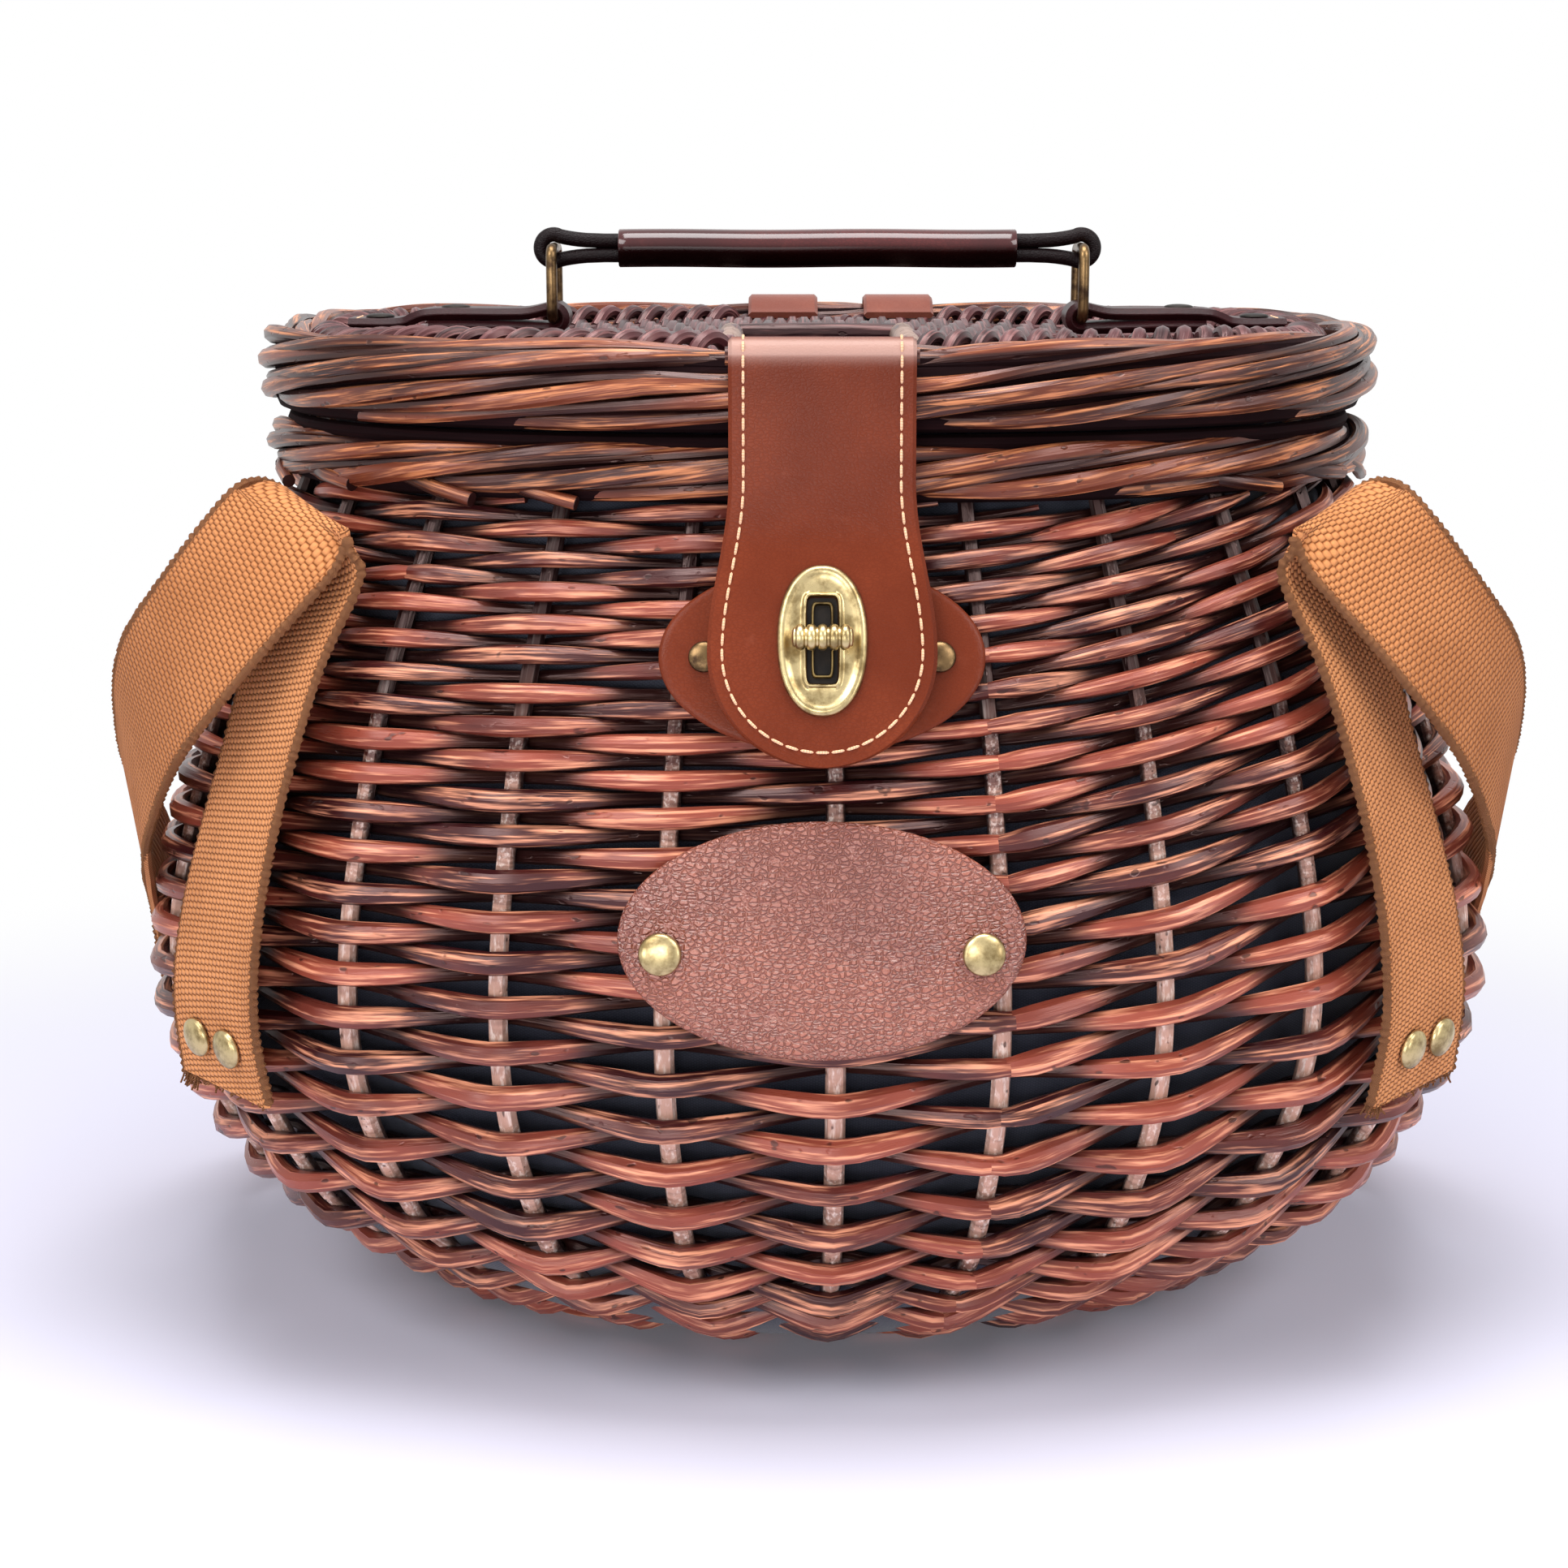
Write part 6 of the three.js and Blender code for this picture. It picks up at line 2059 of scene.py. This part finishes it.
@dataclass
class ShoulderStrap:
    """The webbing strap: riveted up each side, folded over and free behind the basket."""

    form: BasketForm
    finishes: Finishes
    rivets: Rivets
    width: float = 38.0
    thick: float = 2.2
    low_angle: float = math.radians(52.5)
    high_angle: float = math.radians(47.5)
    low: float = 86.0
    high: float = 218.0
    belly: float = 102.0
    stand: Pair = (2.2, 4.0)
    per_gap: int = 8

    def wall_seat(self, sign: int, z: float) -> tuple[Array, Array, Array]:
        """Where the strap lies on the wall.

        Args:
            sign: The side's sign of x.
            z: The height.

        Returns:
            Middle point, width direction and outward direction.
        """
        share = (z - self.low) / (self.high - self.low)
        angle = self.low_angle + (self.high_angle - self.low_angle) * share
        twist = math.radians(np.interp(share, (0.0, 0.5, 0.7, 1.0), (2.0, 12.0, 14.0, 12.0)))

        def spot(turn: float, height: float) -> Array:
            """A point of the wall."""
            return vec(*self.form.outline(self.form.plan_at(height), np.array([sign * turn]))[0], height)
        wide = unit(spot(angle + 0.01, z) - spot(angle - 0.01, z))
        rise = unit(spot(angle, z + 1) - spot(angle, z - 1))
        away = unit(np.cross(wide, rise) * sign)
        cos, sin = math.cos(twist), math.sin(twist)
        stand = np.interp(share, (0.0, 0.8), self.stand)
        return spot(angle, z) + away * stand, wide * cos - away * sin, away * cos + wide * sin

    def free_point(self, degrees: float, gap: float, height: float) -> Array:
        """A point of the free run, clear of the widest part of the wall that it hangs past.

        Args:
            degrees: Angle from the front middle.
            gap: Distance from the wall.
            height: Height of the point.

        Returns:
            The point.
        """
        plan = self.form.plan_at(height)
        if height < self.belly:
            plan = np.maximum(plan, self.form.plan_at(self.belly))
        angle = np.radians([degrees, degrees + 0.06, degrees - 0.06])
        spot, after, before = self.form.outline(plan, angle)
        along = unit(after - before)
        return vec(spot[0] + along[1] * gap, spot[1] - along[0] * gap, height)

    def half_route(self, sign: int) -> tuple[list[Array], list[Array]]:
        """The strap's way from a cut end to the back.

        Args:
            sign: The side's sign of x.

        Returns:
            Points and width directions.
        """
        lift = SEAT + self.thick / 2
        points, sides = [], []
        for i in range(7):
            spot, wide, out = self.wall_seat(sign, self.low + (self.high - self.low) * i / 6)
            points.append(spot + out * (lift + (0.5 if i < 5 else 0.9)))
            sides.append(wide)
        top, _, out = self.wall_seat(1, self.high)
        mirror = vec(sign, 1, 1)
        for rise, reach, side in ((10, 1.8, (0.5, 0.85, 0.12)), (14.5, 3.2, (0.54, 0.8, 0.2)),
                                  (13.2, 7, (0.63, 0.68, 0.36)), (6.2, 14, (0.7, 0.5, 0.52))):
            points.append((top + out * reach + vec(0, 0, rise)) * mirror)
            sides.append(vec(*side) * mirror)
        for degrees, gap, height, side in (
                (55.4, 25, 205, (0.66, 0.56, 0.5)), (61.2, 22.6, 186, (0.5, 0.6, 0.62)),
                (69.6, 13.8, 162, (0.34, 0.7, 0.62)), (81, 4.6, 141, (0.25, 0.86, 0.45)),
                (92.2, 3.4, 114, (0.05, 0.97, 0.2)), (98, 2.8, 82, (-0.05, 0.98, 0.1)),
                (118.1, 2.8, 50, (-0.25, 0.95, 0.1)), (141.3, 8.3, 23, (-0.3, 0.94, 0.05)),
                (159.9, 20, 6, (-0.2, 0.98, 0)), (175.6, 26.1, 0, (-0.08, 1, 0))):
            point = self.free_point(degrees, gap, height)
            point[2] = max(point[2], lift)
            points.append(point * mirror)
            sides.append(vec(*side) * mirror)
        return points, sides

    def fray(self, line: Array, sides: Array) -> Draft:
        """The beaded edges and the loose threads at the cut ends.

        Args:
            line: The strap's middle line.
            sides: Width directions along it.

        Returns:
            A new draft.
        """
        draft = Draft()
        rng = np.random.default_rng(SEED + 7)
        fine = even(np.column_stack([line, sides]), 1500)
        for end in (-1, 1):
            edge = fine[:, :3] + unit(fine[:, 3:]) * end * (self.width / 2 - 0.2)
            edge = even(edge, int(lengths(edge)[-1] / 0.55))
            beads = 1.2 + 0.28 * np.sin(lengths(edge) * TURN / 2.2) + rng.normal(0, 0.08, len(edge))
            draft.tube(edge, beads, 6)
        share = np.linspace(0, 1, 5)[:, None]
        for side in Side:
            sign = side.value
            spot, wide, out = self.wall_seat(sign, self.low)
            down = unit(spot - self.wall_seat(sign, self.low + 2)[0])
            hairs = [rng.uniform(-0.98, 0.98, 110), rng.uniform(-1.02, -0.7, 60) * sign]
            for across in np.concatenate(hairs):
                root = spot + wide * across * self.width / 2 + out * (SEAT + rng.uniform(0.6, self.thick))
                lean = down + wide * rng.normal(0, 0.35) + out * rng.normal(0.1, 0.25)
                reach = rng.uniform(0.8, 2.6) * (1.8 if across * sign < -0.7 else 1.0)
                curl = wide * rng.normal(-0.4 * sign, 1.0) + out * rng.normal(0, 0.6)
                draft.tube(root - down * 0.8 + lean * reach * share + curl * share ** 2, 0.26, 4)
        return draft

    def fasten(self, side: Side) -> None:
        """Rivets the strap to the wall, twice low and once high.

        Args:
            side: The side that is riveted.
        """
        face = self.thick + 2 * SEAT + 0.5
        seat, wide, out = self.wall_seat(side.value, self.low + 13)
        for i, end in ((1, -1), (2, 1)):
            self.rivets.add(f"strap_rivet_{side.word}_{i}", seat + wide * end * 7 + out * face, out, 5.3, 2.4,
                            Body.BASKET)
        seat, wide, out = self.wall_seat(side.value, self.high - 3)
        self.rivets.add(f"strap_rivet_{side.word}_3", seat + out * (face + 0.5), out, 4.0, 1.6, Body.BASKET)

    def build(self) -> None:
        """Makes and settles the strap, its rivets and its frayed edges."""
        left, left_sides = self.half_route(-1)
        right, right_sides = self.half_route(1)
        rear = self.free_point(180, 29, 0)
        rear[2] = SEAT + self.thick / 2
        line = spline(np.array(left + [rear] + right[::-1]), self.per_gap)
        sides = unit(spline(np.array(left_sides + [BACK] + right_sides[::-1]), self.per_gap, power=0.0))
        shades = [0.5] * 8 + [0.48, 0.4, 0.28, 0.2, 0.18, 0.18] + [0.25] * 7
        shades = shades + [0.25] + shades[::-1]
        tint = np.interp(np.arange(len(line)) / self.per_gap, np.arange(len(shades)), shades)
        draft = Draft()
        draft.strap(line, sides, self.width / 2, self.thick, 12, rounding=0.5, tint=tint)
        webbing = self.finishes.webbing
        draft.settle("webbing_strap", webbing, Body.BASKET, Slot.WEBBING, "shoulder_strap")
        for side in Side:
            self.fasten(side)
        self.fray(line, sides).settle("webbing_fray", webbing, Body.BASKET, Slot.WEBBING)


@dataclass(frozen=True)
class Lamp:
    """A soft studio lamp."""

    name: str
    place: Triple
    size: Pair
    power: float

    def hang(self, target: Triple) -> None:
        """Makes the lamp and points it.

        Args:
            target: The place that it shines at.
        """
        light = bpy.data.lights.new(self.name, "AREA")
        light.shape = "RECTANGLE"
        light.size, light.size_y = self.size
        light.energy = self.power
        lamp = show(self.name, light)
        lamp.location = self.place
        way = vec(*target) - vec(*self.place)
        lamp.rotation_euler = (math.atan2(math.hypot(way[0], way[1]), -way[2]), 0,
                               math.atan2(way[1], way[0]) - math.pi / 2)


@dataclass
class Studio:
    """Floor, light and camera."""

    camera_place: Triple = (-0.0092, -0.8, 0.3213)
    camera_tilt: float = math.pi / 2 - 0.214
    focal_px: float = 3516.0
    image_px: float = 1932.0
    sensor: float = 36.0
    lamps: tuple[Lamp, ...] = (
        Lamp("softbox_left", (-0.85, -0.85, 1.1), (0.8, 0.6), 10.5),
        Lamp("softbox_right", (0.95, -0.75, 1.05), (0.8, 0.6), 9.5),
        Lamp("strip_left", (-0.85, -0.8, 0.16), (0.2, 0.3), 1.6),
        Lamp("strip_right", (0.9, -0.75, 0.2), (0.2, 0.3), 1.4),
        Lamp("softbox_top", (0.0, -0.15, 1.4), (0.9, 0.7), 18.0),
        Lamp("softbox_front", (-0.3, -1.3, 0.26), (0.7, 0.4), 5.0),
    )
    target: Triple = (0.0, 0.0, 0.14)
    floor_half: float = 30.0
    white_from: Pair = (0.24, 0.56)
    glow: Colour = (0.95, 0.95, 1.0, 1.0)
    glow_strength: float = 0.16

    def camera(self) -> None:
        """The camera at the photograph's place."""
        data = bpy.data.cameras.new("camera")
        data.sensor_width = self.sensor
        data.lens = self.sensor * self.focal_px / self.image_px
        data.clip_start, data.clip_end = 0.01, 50.0
        camera = show("camera", data)
        camera.location = self.camera_place
        camera.rotation_euler = (self.camera_tilt, 0.0, 0.0)
        bpy.context.scene.camera = camera

    def floor(self) -> None:
        """A pale floor that keeps the basket's shadow."""
        mesh = bpy.data.meshes.new("floor")
        half = self.floor_half
        mesh.from_pydata([(-half, -half, 0), (half, -half, 0), (half, half, 0), (-half, half, 0)], [],
                         [(0, 1, 2, 3)])
        finish = bpy.data.materials.new("floor_pale")
        finish.use_nodes = True
        sheet = NodeSheet(finish.node_tree)
        shader = finish.node_tree.nodes["Principled BSDF"]
        for key, value in (("Base Color", (0.72, 0.71, 0.84, 1.0)), ("Roughness", 0.9),
                           ("Specular IOR Level", 0.1), ("Emission Color", WHITE)):
            shader.inputs[key].default_value = value
        seen = sheet.seen()
        sheet.feed(shader.inputs["Emission Strength"], sheet.times(seen, 0.03))
        reach = sheet.node("ShaderNodeVectorMath", "Value", {0: sheet.object_place()}, operation="LENGTH")
        far = sheet.times(seen, sheet.between(reach, *self.white_from))
        white = sheet.node("ShaderNodeEmission", 0, {})
        both = sheet.node("ShaderNodeMixShader", 0, {0: far, 1: shader.outputs[0], 2: white})
        sheet.feed(finish.node_tree.nodes["Material Output"].inputs["Surface"], both)
        mesh.materials.append(finish)
        show("floor", mesh)

    def surround(self) -> None:
        """A white background with a softer glow for the light that it gives."""
        world = bpy.data.worlds.new("studio")
        world.use_nodes = True
        bpy.context.scene.world = world
        sheet = NodeSheet(world.node_tree)
        world.node_tree.nodes.clear()
        glow, white = (sheet.node("ShaderNodeBackground", 0, {"Color": colour, "Strength": strength})
                       for colour, strength in ((self.glow, self.glow_strength), (WHITE, 1.0)))
        both = sheet.node("ShaderNodeMixShader", 0, {0: sheet.seen(), 1: glow, 2: white})
        sheet.feed(sheet.add("ShaderNodeOutputWorld").inputs["Surface"], both)

    def build(self) -> None:
        """Sets up the studio."""
        self.camera()
        self.floor()
        self.surround()
        for lamp in self.lamps:
            lamp.hang(self.target)
        bpy.context.scene.view_settings.view_transform = "Standard"


def main() -> None:
    """Builds the studio and every piece of the basket."""
    logging.basicConfig(level=logging.INFO, format="%(name)s: %(message)s")
    Studio().build()
    finishes = Finishes()
    form = BasketForm()
    rivets = Rivets(finishes)
    ShoulderStrap(form, finishes, rivets).build()
    WovenWall(form, finishes).build()
    Rim(form, finishes).build()
    Lid(form, finishes).build()
    Closure(form, finishes, rivets).build()
    Handle(finishes, rivets).build()


if __name__ == "__main__":
    main()
